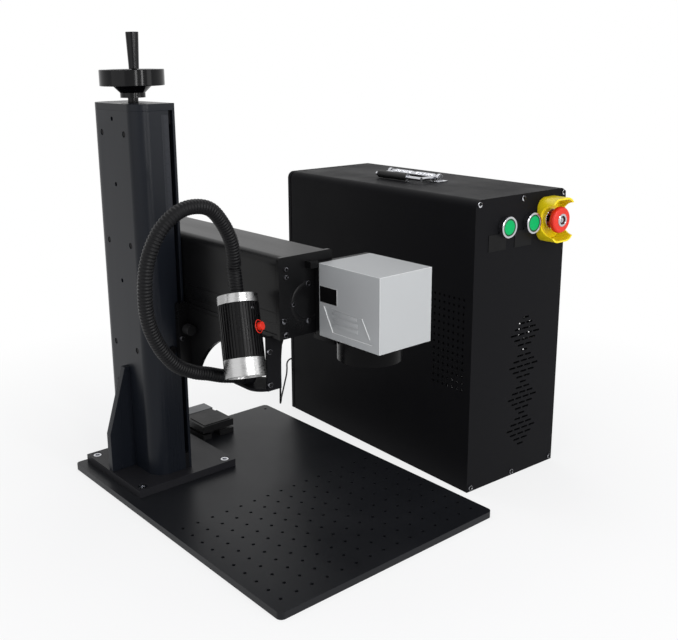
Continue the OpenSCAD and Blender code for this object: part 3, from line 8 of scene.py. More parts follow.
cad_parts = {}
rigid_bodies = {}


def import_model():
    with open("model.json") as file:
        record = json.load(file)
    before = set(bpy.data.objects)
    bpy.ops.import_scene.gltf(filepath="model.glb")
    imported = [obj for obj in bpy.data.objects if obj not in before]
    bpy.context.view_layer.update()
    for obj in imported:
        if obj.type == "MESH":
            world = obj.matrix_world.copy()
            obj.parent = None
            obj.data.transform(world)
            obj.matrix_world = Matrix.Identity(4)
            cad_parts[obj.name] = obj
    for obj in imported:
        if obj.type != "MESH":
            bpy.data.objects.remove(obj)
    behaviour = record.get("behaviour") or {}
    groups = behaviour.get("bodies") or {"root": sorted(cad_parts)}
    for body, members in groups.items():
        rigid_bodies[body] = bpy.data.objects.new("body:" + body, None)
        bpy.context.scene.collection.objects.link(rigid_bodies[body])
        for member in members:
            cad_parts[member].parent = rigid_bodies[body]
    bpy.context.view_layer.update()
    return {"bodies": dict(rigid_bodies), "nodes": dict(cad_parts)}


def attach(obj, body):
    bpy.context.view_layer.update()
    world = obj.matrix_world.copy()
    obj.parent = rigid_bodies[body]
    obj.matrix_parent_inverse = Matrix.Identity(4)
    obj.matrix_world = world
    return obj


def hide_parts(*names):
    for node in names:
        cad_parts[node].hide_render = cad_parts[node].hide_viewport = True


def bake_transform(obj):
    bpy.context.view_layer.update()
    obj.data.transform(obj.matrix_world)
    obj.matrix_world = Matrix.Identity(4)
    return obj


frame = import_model()
nodes = frame["nodes"]
bodies = frame["bodies"]

MM = 0.001

# Photograph's camera
LENS_MM = 48.136
SENSOR_MM = 36.0
SHIFT = (0.04624, -0.04759)
EYE = (-0.76486, -1.03399, 0.65317)
LOOK_RIGHT = (0.7728278, -0.6344802, -0.0131185)
LOOK_UP = (0.1671105, 0.1835198, 0.9687077)
LOOK_BACK = (-0.6122183, -0.7508364, 0.2478575)

# Sizes repeated from the part's source, in millimetres
CABINET_AT = (222.7, -202.1)
CABINET_YAW = math.radians(-2.49)
CABINET_SIZE = (200.0, 456.0, 452.0)
LAMP_TOP = (-110.3, -84.4, 349.7)
LAMP_BACK = math.radians(-22.23)
LAMP_TILT = math.radians(9.57)
LAMP_D = 55.0
LAMP_LEN = 107.7
LAMP_COLLAR = 1.0
LAMP_BUTTON_Z = -45.3
LAMP_BUTTON_TURN = math.radians(-64.5)
LAMP_RING_OUT = 28.0
LAMP_RING_R = 8.5
LAMP_RING_THICK = 0.6
LAMP_SCREW_Z = -20.7
LAMP_SCREW_TURN = math.radians(-80.5)
LAMP_SCREW_IN = 1.6
LAMP_GLASS = (4.0, 7.0)
LAMP_GLASS_IN = 3.3
NECK_D = 19.2
NECK_RIBS = 124
NECK_RIB_DEPTH = 1.1
NECK_RIB_STEPS = 6
NECK_RIB_POWER = 1.4
NECK_SIDES = 28
NECK_START = (-90.0, -60.0, 226.0)
NECK_RISE = math.radians(15.0)
NECK_MID = [
    (-144, -61, 243), (-169, -62, 252), (-198, -66, 270), (-224, -72, 303), (-240, -78, 340),
    (-245, -84, 380), (-241, -88, 417), (-226, -92, 450), (-204, -95, 470), (-179, -94, 476),
    (-152, -91, 470), (-131, -86, 450), (-115, -81, 424), (-107, -75, 398),
]
CABLE_D = 3.0
CABLE_STEPS = 150
CABLE_SIDES = 14
CABLE_LEAD = 12.0
SLEEVE_WALL = 0.45
SLEEVE_RIPPLE = 0.12
SLEEVE_SIDES = 20
CABLE_START = (-20.0, -62.0, 280.5)
CABLE_MID = [
    (-20, -62, 272), (-18.2, -59, 264.5), (-13, -50.5, 255), (1.9, -28.2, 225.8),
    (16.7, -8.1, 196.8),
    (31.6, 12, 171), (49.5, 36.1, 144), (67.5, 60.1, 121.2), (85.5, 84.1, 102.2),
    (103.6, 108, 86.9), (122, 131.7, 75), (140.7, 155.1, 66.4), (159.6, 178.4, 61.2),
    (179.5, 200.9, 59), (200, 222.9, 60.1), (217.5, 240.9, 63.4), (231.6, 255.1, 67.6),
    (243.3, 268.5, 72.4), (255.5, 283.5, 77.5), (269, 291.5, 80), (281, 287.5, 80),
]
GLAND_U = 45.0
GLAND_W = 80.0
GLAND_LEN = 14.0
BUTTON_U = (63.0, 117.5)
BUTTON_W = 407.0
BUTTON_OUT = 9.0
STOP_AT = (159.5, 409.0)
STOP_OUT = 27.0
HANDLE_PIVOT = (100.0, 232.0, 459.0)
HANDLE_GRIP_U = 64.0
HANDLE_GRIP_RUN = (173.0, 280.0)
HANDLE_GRIP_R = (3.3, 6.3)
SPRING_START = 5.0
RIM_SIDE = 1.6
RIM_END = 10.0
RIM_DEPTH = 1.2
SOCKET_R = 1.75
HEAD_X = -9.5
BAR_HALF_H = 2.6
BAR_END_Y = -158.0
SCALE_X = -93.0
SCALE_Y = 115.5
SCALE_TOP = 574.0
SCALE_LEN = 150.0
SCALE_STEP = 2.0
TICK_SHORT = 3.2
TICK_THICK = 0.44
TICK_DEEP = 0.26
# Every fifth and every tenth tick, and how much of a short one each adds
TICK_LONGER = ((5.0, 0.62), (10.0, 0.72))
PEDAL_REAR_Y = 275.0
PEDAL_REAR_Z = 20.0
PEDAL_PAD_Z = 35.2
SEAT_AT = (-20.0, -120.0, 332.0)

# Mesh work: merging distances in metres, angles in degrees
WELD = 0.000001
CAD_WELD = 0.000002
FLAT_ANGLE = 0.6
SHARP_ANGLE = 35.0
SMOOTH_ANGLE = 32.0
ROUND_ANGLE = 60.0
# A face whose normal's longest part is under this is slanted or rounded
EDGE_SLANT = 0.97
RIM_SLANT = 0.96

# White ground, in metres: its half width, and where its glow grows to full
GROUND_REACH = 12.0
GROUND_AT = (0.1, 0, -0.0004)
GLOW_NEAR = 0.4
GLOW_FAR = 1.0
GLOW_UNDER = 0.75

# Soft boxes: name, place, aim and size in metres, and watts
SOFT_BOXES = [
    ("left_box", (-2.3, -0.3, 1.3), (0, 0, 0.3), (2.4, 2.4), 13),
    ("front_strip_left", (-0.75, -2.5, 1.25), (0, 0, 0.35), (0.28, 2.3), 24),
    ("front_strip_right", (0.25, -2.6, 1.25), (0, 0, 0.35), (0.28, 2.3), 28),
    ("right_box", (1.55, -2.3, 0.85), (0, 0, 0.45), (0.9, 1.5), 8),
    ("top_box", (0.3, 0.9, 2.4), (0.1, 0, 0.2), (1.8, 1.4), 12),
]


# An sRGB hex colour as the shader's linear one
def paint(code):
    out = []
    for at in (0, 2, 4):
        value = int(code[at:at + 2], 16) / 255.0
        if value <= 0.04045:
            out.append(value / 12.92)
        else:
            out.append(((value + 0.055) / 1.055) ** 2.4)
    return (out[0], out[1], out[2], 1.0)


# A node with its settings, and its inputs as values or links
def put(tree, kind, inputs=None, **settings):
    node = tree.nodes.new(kind)
    for name, value in settings.items():
        setattr(node, name, value)
    for name, value in (inputs or {}).items():
        if isinstance(value, bpy.types.NodeSocket):
            tree.links.new(value, node.inputs[name])
        else:
            node.inputs[name].default_value = value
    return node


# A place given on the cabinet: across, back and up from its front corner
def cabinet_point(u, v, w):
    x = CABINET_AT[0] + u * math.cos(CABINET_YAW) - v * math.sin(CABINET_YAW)
    y = CABINET_AT[1] + u * math.sin(CABINET_YAW) + v * math.cos(CABINET_YAW)
    return Vector((x, y, w)) * MM


# The cabinet's own axes, as a matrix
def cabinet_frame():
    turn = Matrix.Rotation(CABINET_YAW, 4, "Z")
    return Matrix.Translation((CABINET_AT[0] * MM, CABINET_AT[1] * MM, 0)) @ turn


# The lamp's own axes, its top at the origin
def lamp_frame():
    turn = Matrix.Rotation(LAMP_BACK, 4, "X") @ Matrix.Rotation(LAMP_TILT, 4, "Y")
    return Matrix.Translation(Vector(LAMP_TOP) * MM) @ turn


# A place on the cabinet's front, its z axis pointing out
def front_frame(u, w, out):
    place = cabinet_frame() @ Matrix.Translation(Vector((u, -out, w)) * MM)
    return place @ Matrix.Rotation(math.radians(90), 4, "X")


# A place on the lamp's side, its z axis pointing out
def lamp_side(turn, height, out):
    place = lamp_frame() @ Matrix.Translation((0, 0, height * MM))
    place = place @ Matrix.Rotation(turn, 4, "Z") @ Matrix.Rotation(math.radians(90), 4, "Y")
    return place @ Matrix.Translation((0, 0, out * MM))


# Name of the body that a node rides on
def body_name(node):
    holder = nodes[node].parent
    for name, empty in bodies.items():
        if empty is holder:
            return name
    return "root"


# A new object in the scene
def new_object(name, data):
    piece = bpy.data.objects.new(name, data)
    bpy.context.scene.collection.objects.link(piece)
    return piece


# A new object on a body, with its materials
def add_object(name, mesh, body, *materials):
    piece = new_object(name, mesh)
    for material in materials:
        piece.data.materials.append(material)
    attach(piece, body)
    return piece


# A mesh that a function builds, its faces turned outwards
def mesh_from(name, build, smooth=SMOOTH_ANGLE):
    mesh = bpy.data.meshes.new(name)
    shape = bmesh.new()
    build(shape)
    bmesh.ops.recalc_face_normals(shape, faces=shape.faces)
    shape.to_mesh(mesh)
    shape.free()
    soften(mesh, smooth)
    return mesh


# Smooth shading, with edges past an angle kept sharp
def soften(mesh, smooth):
    for face in mesh.polygons:
        face.use_smooth = True
    mesh.set_sharp_from_angle(angle=math.radians(smooth))


# Smooth route through points
def spline_points(points, per=14):
    pts = [Vector(p) for p in points]
    out = []
    for i in range(len(pts) - 1):
        p0 = pts[max(i - 1, 0)]
        p1 = pts[i]
        p2 = pts[i + 1]
        p3 = pts[min(i + 2, len(pts) - 1)]
        for k in range(per):
            t = k / per
            a = 2 * p1 + (p2 - p0) * t
            b = (2 * p0 - 5 * p1 + 4 * p2 - p3) * t * t
            c = (3 * p1 - p0 - 3 * p2 + p3) * t * t * t
            out.append((a + b + c) * 0.5)
    out.append(pts[-1])
    return out


# Evenly spaced places on a route
def even_points(points, count):
    runs = [0.0]
    for a, b in zip(points, points[1:]):
        runs.append(runs[-1] + (b - a).length)
    out = []
    at = 0
    for k in range(count + 1):
        want = runs[-1] * k / count
        while at < len(runs) - 2 and runs[at + 1] < want:
            at += 1
        span = max(runs[at + 1] - runs[at], 1e-9)
        out.append(points[at].lerp(points[at + 1], (want - runs[at]) / span))
    return out


# A closed round tube along centres, each with its radius
def tube(shape, centres, radii, sides):
    side = Vector((0, 1, 0))
    rings = []
    for i, centre in enumerate(centres):
        ahead = centres[min(i + 1, len(centres) - 1)] - centres[max(i - 1, 0)]
        ahead.normalize()
        side = (side - ahead * side.dot(ahead)).normalized()
        other = ahead.cross(side)
        ring = []
        for j in range(sides):
            angle = 2 * math.pi * j / sides
            out = side * math.cos(angle) + other * math.sin(angle)
            ring.append(shape.verts.new(centre + out * radii[i]))
        rings.append(ring)
    for lower, upper in zip(rings, rings[1:]):
        for j in range(sides):
            k = (j + 1) % sides
            shape.faces.new((lower[j], lower[k], upper[k], upper[j]))
    shape.faces.new(rings[0])
    shape.faces.new(rings[-1])


# Turned faces: a profile of (radius, height) pairs about an axis
def turned(shape, profile, sides, place):
    rings = []
    for radius, height in profile:
        ring = []
        for j in range(sides):
            angle = 2 * math.pi * j / sides
            at = Vector((radius * math.cos(angle), radius * math.sin(angle), height))
            ring.append(shape.verts.new(place @ (at * MM)))
        rings.append(ring)
    for lower, upper in zip(rings, rings[1:]):
        for j in range(sides):
            k = (j + 1) % sides
            shape.faces.new((lower[j], lower[k], upper[k], upper[j]))


# A turned piece of its own. A ring's section is closed; a solid one starts and ends on its axis.
def turned_piece(name, body, material, profile, place, sides=64):
    def build(shape):
        closing = profile[:1] if profile[0][0] > 0 else []
        turned(shape, profile + closing, sides, place)
        bmesh.ops.remove_doubles(shape, verts=shape.verts, dist=WELD)

    add_object(name, mesh_from(name, build), body, material)


# Profile of a round ring: the radius of its middle, and of its section
def ring_profile(radius, thick, steps=12):
    out = []
    for k in range(steps):
        angle = 2 * math.pi * k / steps
        out.append((radius + thick * math.cos(angle), thick * math.sin(angle)))
    return out


# A box between two corners, its edges eased where asked
def box_into(shape, low, high, ease=0.0, place=None):
    made = bmesh.ops.create_cube(shape, size=1.0)["verts"]
    for vert in made:
        for k in range(3):
            middle = (low[k] + high[k]) / 2
            vert.co[k] = (middle + vert.co[k] * (high[k] - low[k])) * MM
    if place is not None:
        for vert in made:
            vert.co = place @ vert.co
    if ease > 0:
        edges = {edge for vert in made for edge in vert.link_edges}
        bmesh.ops.bevel(shape, geom=list(edges), offset=ease * MM, offset_type="OFFSET",
                        segments=3, profile=0.5, affect="EDGES", clamp_overlap=True)


# A coat, moulding or metal. Patches (mm) shift its colour and roughness, and a grain (mm)
# stands up from it. The real grain is about a tenth of a millimetre, too fine to show, so it is
# drawn coarser. Draw stretches both along the way that the piece was drawn or turned.
def surface(name, colour, rough, metal=0.0, specular=0.5, coat=0.0, vary=0.14, patch=100.0,
            grain=0.7, relief=0.1, rough_span=0.07, draw=(1.0, 1.0, 1.0)):
    material = bpy.data.materials.new(name)
    material.use_nodes = True
    tree = material.node_tree
    tree.nodes.clear()
    where = put(tree, "ShaderNodeTexCoord")
    place = put(tree, "ShaderNodeMapping", {"Vector": where.outputs["Object"], "Scale": draw})
    patches = put(tree, "ShaderNodeTexNoise", {
        "Vector": place.outputs["Vector"], "Scale": 1 / (patch * MM), "Detail": 6.0,
        "Roughness": 0.62})
    base = paint(colour)
    low = [part * (1 - vary) for part in base[:3]] + [1.0]
    high = [min(part * (1 + vary), 1.0) for part in base[:3]] + [1.0]
    tone = put(tree, "ShaderNodeMix", data_type="RGBA")
    tone.inputs["A"].default_value = low
    tone.inputs["B"].default_value = high
    tree.links.new(patches.outputs["Fac"], tone.inputs["Factor"])
    sheen = put(tree, "ShaderNodeMapRange", {
        "Value": patches.outputs["Fac"], "From Min": 0.3, "From Max": 0.7,
        "To Min": max(rough - rough_span, 0.02), "To Max": min(rough + rough_span, 1.0)})
    fine = put(tree, "ShaderNodeTexNoise", {
        "Vector": place.outputs["Vector"], "Scale": 1 / (grain * MM), "Detail": 3.0})
    dent = put(tree, "ShaderNodeBump", {
        "Height": fine.outputs["Fac"], "Strength": relief, "Distance": 0.4 * grain * MM})
    shader = put(tree, "ShaderNodeBsdfPrincipled", {
        "Base Color": tone.outputs["Result"], "Roughness": sheen.outputs["Result"],
        "Normal": dent.outputs["Normal"], "Metallic": metal, "Specular IOR Level": specular,
        "Coat Weight": coat, "Coat Roughness": 0.08})
    put(tree, "ShaderNodeOutputMaterial", {"Surface": shader.outputs["BSDF"]})
    return material


# Anodised aluminium plate, bead blasted: an even dull black with a fine tooth
ANODISED = surface("anodised_plate", "1c1c1f", 0.42, specular=0.15, patch=110, grain=0.6,
                   relief=0.12)
# Anodised aluminium extrusion of the column: faint draw lines up its faces
COLUMN = surface("anodised_column", "12151b", 0.31, specular=0.155, patch=90, grain=0.7,
                 draw=(1.0, 1.0, 0.06))
# Anodised strip of the height scale, a shade lighter than the column
SCALE_FACE = surface("anodised_scale", "26282d", 0.4, specular=0.18, patch=60, grain=0.7)
# Anodised aluminium extrusion of the arm: draw lines along it
ARM_BLACK = surface("anodised_arm", "0c0c0d", 0.3, specular=0.13, patch=110, grain=0.7,
                    relief=0.08, draw=(1.0, 0.06, 1.0))
# Powder-coated sheet steel: deep black with the coat's low orange peel
COATED = surface("powder_coat", "111113", 0.5, specular=0.04, patch=90, grain=1.1, relief=0.2)
# The same coat, lighter on the panel's rounded rim: a painted highlight along its edge
COATED_RIM_HIGHLIGHT = surface("powder_coat_rim_painted_highlight", "2e2e31", 0.4, specular=0.2, patch=30, grain=1.1)
# Milled and anodised work plate: slightly satin, its patches broad
PLATE = surface("anodised_work_plate", "16171a", 0.36, specular=0.16, patch=160, grain=0.8,
                relief=0.12)
# Lens barrel: turned and black anodised, satin
LENS_BLACK = surface("anodised_lens_barrel", "060607", 0.24, specular=0.07, patch=60, grain=0.6,
                     relief=0.05)
# Silver stove enamel on cast aluminium: soft metallic sheen
SILVER = surface("silver_enamel", "a8aaab", 0.45, metal=0.2, vary=0.04, patch=120, grain=0.5,
                 relief=0.08)
# The same enamel, lighter on the casting's edges and slanted walls: a painted highlight
ENAMEL_HIGHLIGHT = surface("silver_enamel_painted_highlight", "dcdedd", 0.36, metal=0.2, vary=0.05, patch=20,
                      grain=0.5, relief=0.05)
# Turned and plated steel of the fasteners
STEEL = surface("plated_steel", "94949a", 0.3, metal=1.0, vary=0.12, patch=16, grain=0.4)
# Ground and blackened guide steel
DARK_STEEL = surface("blackened_steel", "28282a", 0.3, metal=0.6, vary=0.2, patch=14, grain=0.4)
# Blackened screws, sunk in their counterbores, drawn darker still to stand for the shade there:
# painted shade
BLACK_STEEL_AND_SHADE = surface("blackened_screws_and_painted_shade", "060607", 0.4, specular=0.05, patch=16, grain=0.4)
# Chrome plate, polished
CHROME = surface("chrome_plate", "c3c4c8", 0.14, metal=1.0, vary=0.05, patch=25, grain=1.1,
                 relief=0.04, rough_span=0.04)
# Turned bright aluminium: fine tool rings round the lamp's rims
TURNED = surface("turned_aluminium", "a0a0a0", 0.27, metal=1.0, vary=0.08, patch=30, grain=2.0,
                 draw=(0.4, 0.4, 9.0), rough_span=0.08)
# Milled bright aluminium of the inner blocks
MILLED = surface("milled_aluminium", "b2b2b4", 0.34, metal=1.0, vary=0.1, patch=40, grain=1.1,
                 draw=(1.0, 6.0, 1.0))
# Cut brass of the lift nut
BRASS = surface("cut_brass", "c49e54", 0.28, metal=1.0, vary=0.12, patch=20, grain=0.8,
                relief=0.08)
# Phenolic handwheel and grip: polished black moulding
GLOSS = surface("phenolic_black", "08080a", 0.12, specular=0.17, vary=0.2, patch=50, grain=1.4,
                relief=0.01, rough_span=0.03)
# ABS mouldings with a spark-eroded texture
PLASTIC = surface("moulded_abs", "141415", 0.48, specular=0.2, patch=33, grain=0.6, relief=0.2)
# Flexible lamp hose in soft black PVC
HOSE = surface("pvc_hose", "0a0a0c", 0.42, specular=0.14, patch=38, grain=0.7, relief=0.12)
# Grey ABS back of the foot switch
PEDAL_GREY = surface("moulded_grey_abs", "525456", 0.42, vary=0.1, patch=33, grain=0.7,
                     relief=0.12)
# Anodised fins of the lamp, with sharp glints along their edges
FINS = surface("anodised_fins", "070708", 0.3, specular=0.14, patch=38, grain=0.7, relief=0.06)
# Moulded rubber: matt, with a coarser tooth
RUBBER = surface("moulded_rubber", "121213", 0.55, specular=0.25, vary=0.16, patch=38, grain=0.7,
                 relief=0.22)
# Yellow nylon of the guard, satin
YELLOW = surface("moulded_yellow_nylon", "e6ce14", 0.34, specular=0.3, vary=0.06, patch=45,
                 grain=1.1, relief=0.08)
# Red moulding of the stop mushroom and of the lamp's button
RED = surface("moulded_red", "d22a19", 0.32, specular=0.3, vary=0.07, patch=38, grain=1.1,
              relief=0.07)
# Green lens, faintly stippled
GREEN = surface("stippled_green_lens", "03a259", 0.32, specular=0.08, vary=0.07, patch=8,
                grain=0.7, relief=0.3)
# Green rim under the lens
DEEP_GREEN = surface("moulded_green_rim", "0a5430", 0.3, specular=0.2, vary=0.08, patch=11,
                     grain=0.8)
# Silvered faces of the scan mirrors
MIRROR = surface("silvered_glass", "d7d8de", 0.05, metal=1.0, vary=0.03, patch=11, grain=1.1,
                 relief=0.0, rough_span=0.02)
# Coated lens glass, dark blue under its film
COATING = surface("coated_glass", "222c3a", 0.06, coat=1.0, vary=0.2, patch=55, grain=1.1,
                  relief=0.0, rough_span=0.02)
# Frosted acrylic of the lamp's face
DIFFUSER = surface("frosted_acrylic", "ced0ce", 0.4, vary=0.05, patch=16, grain=0.7, relief=0.15)
# Black enamelled label plates
LABEL = surface("enamelled_plate", "0a0a0b", 0.34, specular=0.1, patch=16, grain=0.6)


# Camera, first of the things made
def make_camera():
    data = bpy.data.cameras.new("camera")
    data.sensor_width = SENSOR_MM
    data.sensor_fit = "HORIZONTAL"
    data.lens = LENS_MM
    data.shift_x = SHIFT[0]
    data.shift_y = SHIFT[1]
    data.clip_start = 0.05
    data.clip_end = 40
    camera = new_object("camera", data)
    turn = Matrix((LOOK_RIGHT, LOOK_UP, LOOK_BACK)).transposed().to_4x4()
    camera.matrix_world = Matrix.Translation(EYE) @ turn
    bpy.context.scene.camera = camera


# Thin cable from the arm's underside to the cabinet's back
def make_cable():
    gland = cabinet_point(GLAND_U, CABINET_SIZE[1] + GLAND_LEN, GLAND_W)
    before = cabinet_point(GLAND_U, CABINET_SIZE[1] + GLAND_LEN + CABLE_LEAD, GLAND_W)
    route = [Vector(CABLE_START) * MM] + [Vector(p) * MM for p in CABLE_MID] + [before, gland]
    line = even_points(spline_points(route), CABLE_STEPS)
    radii = [CABLE_D / 2 * MM] * len(line)
    mesh = mesh_from("cable", lambda s: tube(s, line, radii, CABLE_SIDES), ROUND_ANGLE)
    mesh.materials.append(RUBBER)
    cable = new_object("cable", mesh)
    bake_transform(cable)
    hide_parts("arm_cable")
    return line


# Rubber sleeve over the cable's end: tapered from its root radius, with low ripples
def make_sleeve(name, body, line, root):
    steps = 10
    runs = even_points(line, steps)
    tip = CABLE_D / 2 + SLEEVE_WALL
    radii = []
    for k in range(steps + 1):
        share = k / steps
        radii.append((root * (1 - share) + tip * share + SLEEVE_RIPPLE * (k % 2)) * MM)
    mesh = mesh_from(name, lambda s: tube(s, runs, radii, SLEEVE_SIDES), smooth=50.0)
    add_object(name, mesh, body, RUBBER)


# A copy of a node's own shape, with eased edges and its finish. Each area is a test of a
# face's centre and normal, and the finish of the faces that pass it.
def eased(node, material, ease=0.5, steps=2, areas=()):
    mesh = nodes[node].data.copy()
    mesh.materials.clear()
    shape = bmesh.new()
    shape.from_mesh(mesh)
    bmesh.ops.remove_doubles(shape, verts=shape.verts, dist=CAD_WELD)
    bmesh.ops.dissolve_limit(shape, angle_limit=math.radians(FLAT_ANGLE), verts=shape.verts,
                             edges=shape.edges)
    sharp = []
    for edge in shape.edges:
        if len(edge.link_faces) == 2 and edge.calc_face_angle(0) > math.radians(SHARP_ANGLE):
            sharp.append(edge)
    bmesh.ops.bevel(shape, geom=sharp, offset=ease * MM, offset_type="OFFSET",
                    segments=steps, profile=0.5, affect="EDGES", clamp_overlap=True)
    bmesh.ops.dissolve_degenerate(shape, dist=WELD, edges=shape.edges)
    shape.to_mesh(mesh)
    shape.free()
    soften(mesh, SMOOTH_ANGLE)
    piece = add_object(node + "_form", mesh, body_name(node), material)
    for index, (test, other) in enumerate(areas):
        piece.data.materials.append(other)
        for face in mesh.polygons:
            if test(face.center, face.normal):
                face.material_index = index + 1
    even_normals(piece)
    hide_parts(node)


# Flat faces stay flat beside their eased edges
def even_normals(piece):
    weigh = piece.modifiers.new("even_normals", "WEIGHTED_NORMAL")
    weigh.mode = "FACE_AREA"
    weigh.weight = 100
    weigh.keep_sharp = True


# A finish on an inner node, which keeps its own shape
def finish_node(node, material):
    piece = nodes[node]
    if not piece.material_slots:
        piece.data.materials.append(material)
    for slot in piece.material_slots:
        slot.link = "OBJECT"
        slot.material = material


# A node tree with a geometry input and its named sizes
def new_tree(name, sizes):
    tree = bpy.data.node_groups.new(name, "GeometryNodeTree")
    tree.interface.new_socket("Geometry", in_out="INPUT", socket_type="NodeSocketGeometry")
    for label, kind in sizes.items():
        tree.interface.new_socket(label, in_out="INPUT", socket_type="NodeSocket" + kind)
    tree.interface.new_socket("Geometry", in_out="OUTPUT", socket_type="NodeSocketGeometry")
    return tree, put(tree, "NodeGroupInput").outputs


# Its end: real instances and the finish
def close_tree(tree, geometry, material):
    real = put(tree, "GeometryNodeRealizeInstances", {"Geometry": geometry})
    worn = put(tree, "GeometryNodeSetMaterial", {
        "Geometry": real.outputs["Geometry"], "Material": material})
    put(tree, "NodeGroupOutput", {"Geometry": worn.outputs["Geometry"]})


# A tree run on a line of points and kept as one plain mesh
def grow(name, tree, sizes, body, points=(), place=None, smooth=ROUND_ANGLE):
    seed = bpy.data.meshes.new(name + "_seed")
    seed.from_pydata([tuple(p) for p in points], [(i, i + 1) for i in range(len(points) - 1)], [])
    holder = new_object(name + "_seed", seed)
    modifier = holder.modifiers.new(name, "NODES")
    modifier.node_group = tree
    for item in tree.interface.items_tree:
        if item.in_out == "INPUT" and item.name in sizes:
            modifier[item.identifier] = sizes[item.name]
    ready = holder.evaluated_get(bpy.context.evaluated_depsgraph_get())
    mesh = bpy.data.meshes.new_from_object(ready)
    mesh.name = name
    holder.modifiers.remove(modifier)
    bpy.data.objects.remove(holder)
    if place is not None:
        mesh.transform(place)
    shape = bmesh.new()
    shape.from_mesh(mesh)
    bmesh.ops.remove_doubles(shape, verts=shape.verts, dist=WELD)
    bmesh.ops.recalc_face_normals(shape, faces=shape.faces)
    shape.to_mesh(mesh)
    shape.free()
    soften(mesh, smooth)
    piece = add_object(name, mesh, body)
    return piece


# Ribs round a hose: its radius swells and falls along the line
def hose_tree():
    tree, size = new_tree("ribbed_hose", {
        "Diameter": "Float", "Rib Depth": "Float", "Ribs": "Int", "Steps": "Int"})
    line = put(tree, "GeometryNodeMeshToCurve", {"Mesh": size["Geometry"]})
    count = put(tree, "ShaderNodeMath", {0: size["Ribs"], 1: size["Steps"], 2: 1.0},
                operation="MULTIPLY_ADD")
    even = put(tree, "GeometryNodeResampleCurve", {
        "Curve": line.outputs["Curve"], "Count": count.outputs["Value"]})
    index = put(tree, "GeometryNodeInputIndex")
    turn = put(tree, "ShaderNodeMath", {0: index.outputs["Index"], 1: size["Steps"]},
               operation="DIVIDE")
    angle = put(tree, "ShaderNodeMath", {0: turn.outputs["Value"], 1: 2 * math.pi},
                operation="MULTIPLY")
    wave = put(tree, "ShaderNodeMath", {0: angle.outputs["Value"]}, operation="COSINE")
    share = put(tree, "ShaderNodeMath", {0: wave.outputs["Value"], 1: 0.5, 2: 0.5},
                operation="MULTIPLY_ADD")
    groove = put(tree, "ShaderNodeMath", {0: share.outputs["Value"], 1: NECK_RIB_POWER},
                 operation="POWER")
    depth = put(tree, "ShaderNodeMath", {0: groove.outputs["Value"], 1: size["Rib Depth"]},
                operation="MULTIPLY")
    half = put(tree, "ShaderNodeMath", {0: size["Diameter"], 1: 0.5}, operation="MULTIPLY")
    outer = put(tree, "ShaderNodeMath", {0: half.outputs["Value"], 1: depth.outputs["Value"]},
                operation="SUBTRACT")
    swollen = put(tree, "GeometryNodeSetCurveRadius", {
        "Curve": even.outputs["Curve"], "Radius": outer.outputs["Value"]})
    ring = put(tree, "GeometryNodeCurvePrimitiveCircle", {
        "Resolution": NECK_SIDES, "Radius": 1.0})
    radius = put(tree, "GeometryNodeInputRadius").outputs["Radius"]
    skin = put(tree, "GeometryNodeCurveToMesh", {
        "Curve": swollen.outputs["Curve"], "Profile Curve": ring.outputs["Curve"],
        "Scale": radius, "Fill Caps": True})
    close_tree(tree, skin.outputs["Mesh"], HOSE)
    return tree


# Lamp hose, bent from its bracket up and over to the lamp
def make_gooseneck():
    top = Vector(LAMP_TOP)
    up = lamp_frame().to_3x3() @ Vector((0, 0, 1))
    end = top + up * LAMP_COLLAR
    start = Vector(NECK_START)
    away = Vector((-math.cos(NECK_RISE), 0, math.sin(NECK_RISE)))
    route = [start, start + away * NECK_D, start + away * 1.8 * NECK_D]
    route += [Vector(p) for p in NECK_MID]
    route += [end + up * 1.9 * NECK_D, end + up * NECK_D, end]
    sizes = {"Diameter": NECK_D * MM, "Rib Depth": NECK_RIB_DEPTH * MM, "Ribs": NECK_RIBS,
             "Steps": NECK_RIB_STEPS}
    hose = grow("hose", hose_tree(), sizes, body_name("gooseneck"),
                [p * MM for p in spline_points(route, 24)], smooth=70.0)
    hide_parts("gooseneck")


# Lamp's red ring round its button, and its set screw
def make_lamp_trim():
    side = lamp_side(LAMP_BUTTON_TURN, LAMP_BUTTON_Z, LAMP_RING_OUT)
    ring = ring_profile(LAMP_RING_R, LAMP_RING_THICK)
    turned_piece("lamp_ring", "lift", RED, ring, side)
    screw = lamp_side(LAMP_SCREW_TURN, LAMP_SCREW_Z, LAMP_D / 2 - LAMP_SCREW_IN)
    profile = [(0, 1.5), (1.5, 1.5), (1.8, 1.2), (1.8, -0.4), (0, -0.4)]
    turned_piece("lamp_set_screw", "lift", STEEL, profile, screw, sides=24)


# Frosted face inside the lamp's lower rim
def on_lamp_glass(centre, normal):
    at = lamp_frame().inverted() @ centre
    radius = math.hypot(at.x, at.y)
    low = (-LAMP_LEN + LAMP_GLASS[0] - 0.2) * MM
    high = (-LAMP_LEN + LAMP_GLASS[1] + 0.2) * MM
    return low < at.z < high and radius < (LAMP_D / 2 - LAMP_GLASS_IN) * MM


# Stop switch: chrome lock ring, key cylinder, and its key slot as a dark bar of painted shade
def make_lock():
    place = front_frame(STOP_AT[0], STOP_AT[1], STOP_OUT)
    body = body_name("stop_mushroom")
    ring = [(6.45, -1.9), (6.45, 1.0), (6.8, 1.35), (8.9, 1.35), (9.7, 0.8), (9.9, -0.2)]
    turned_piece("lock_ring", body, CHROME, ring, place)
    face = [(0, -0.9), (3.6, -0.9), (4.0, -1.2), (4.0, -1.9), (0, -1.9)]
    turned_piece("lock_cylinder", body, CHROME, face, place, sides=40)
    well = [(0, -1.85), (6.4, -1.85), (6.4, -2.1), (0, -2.1)]
    turned_piece("lock_well", body, PLASTIC, well, place, sides=40)
    # The key slot is a dark bar laid on the cylinder's face: painted shade where a slot would be
    # cut
    low = (-0.45, -2.4, -0.95)
    high = (0.45, 2.4, -0.8)
    mesh = mesh_from("lock_slot_painted_shade", lambda s: box_into(s, low, high, place=place))
    add_object("lock_slot_painted_shade", mesh, body, PLASTIC)


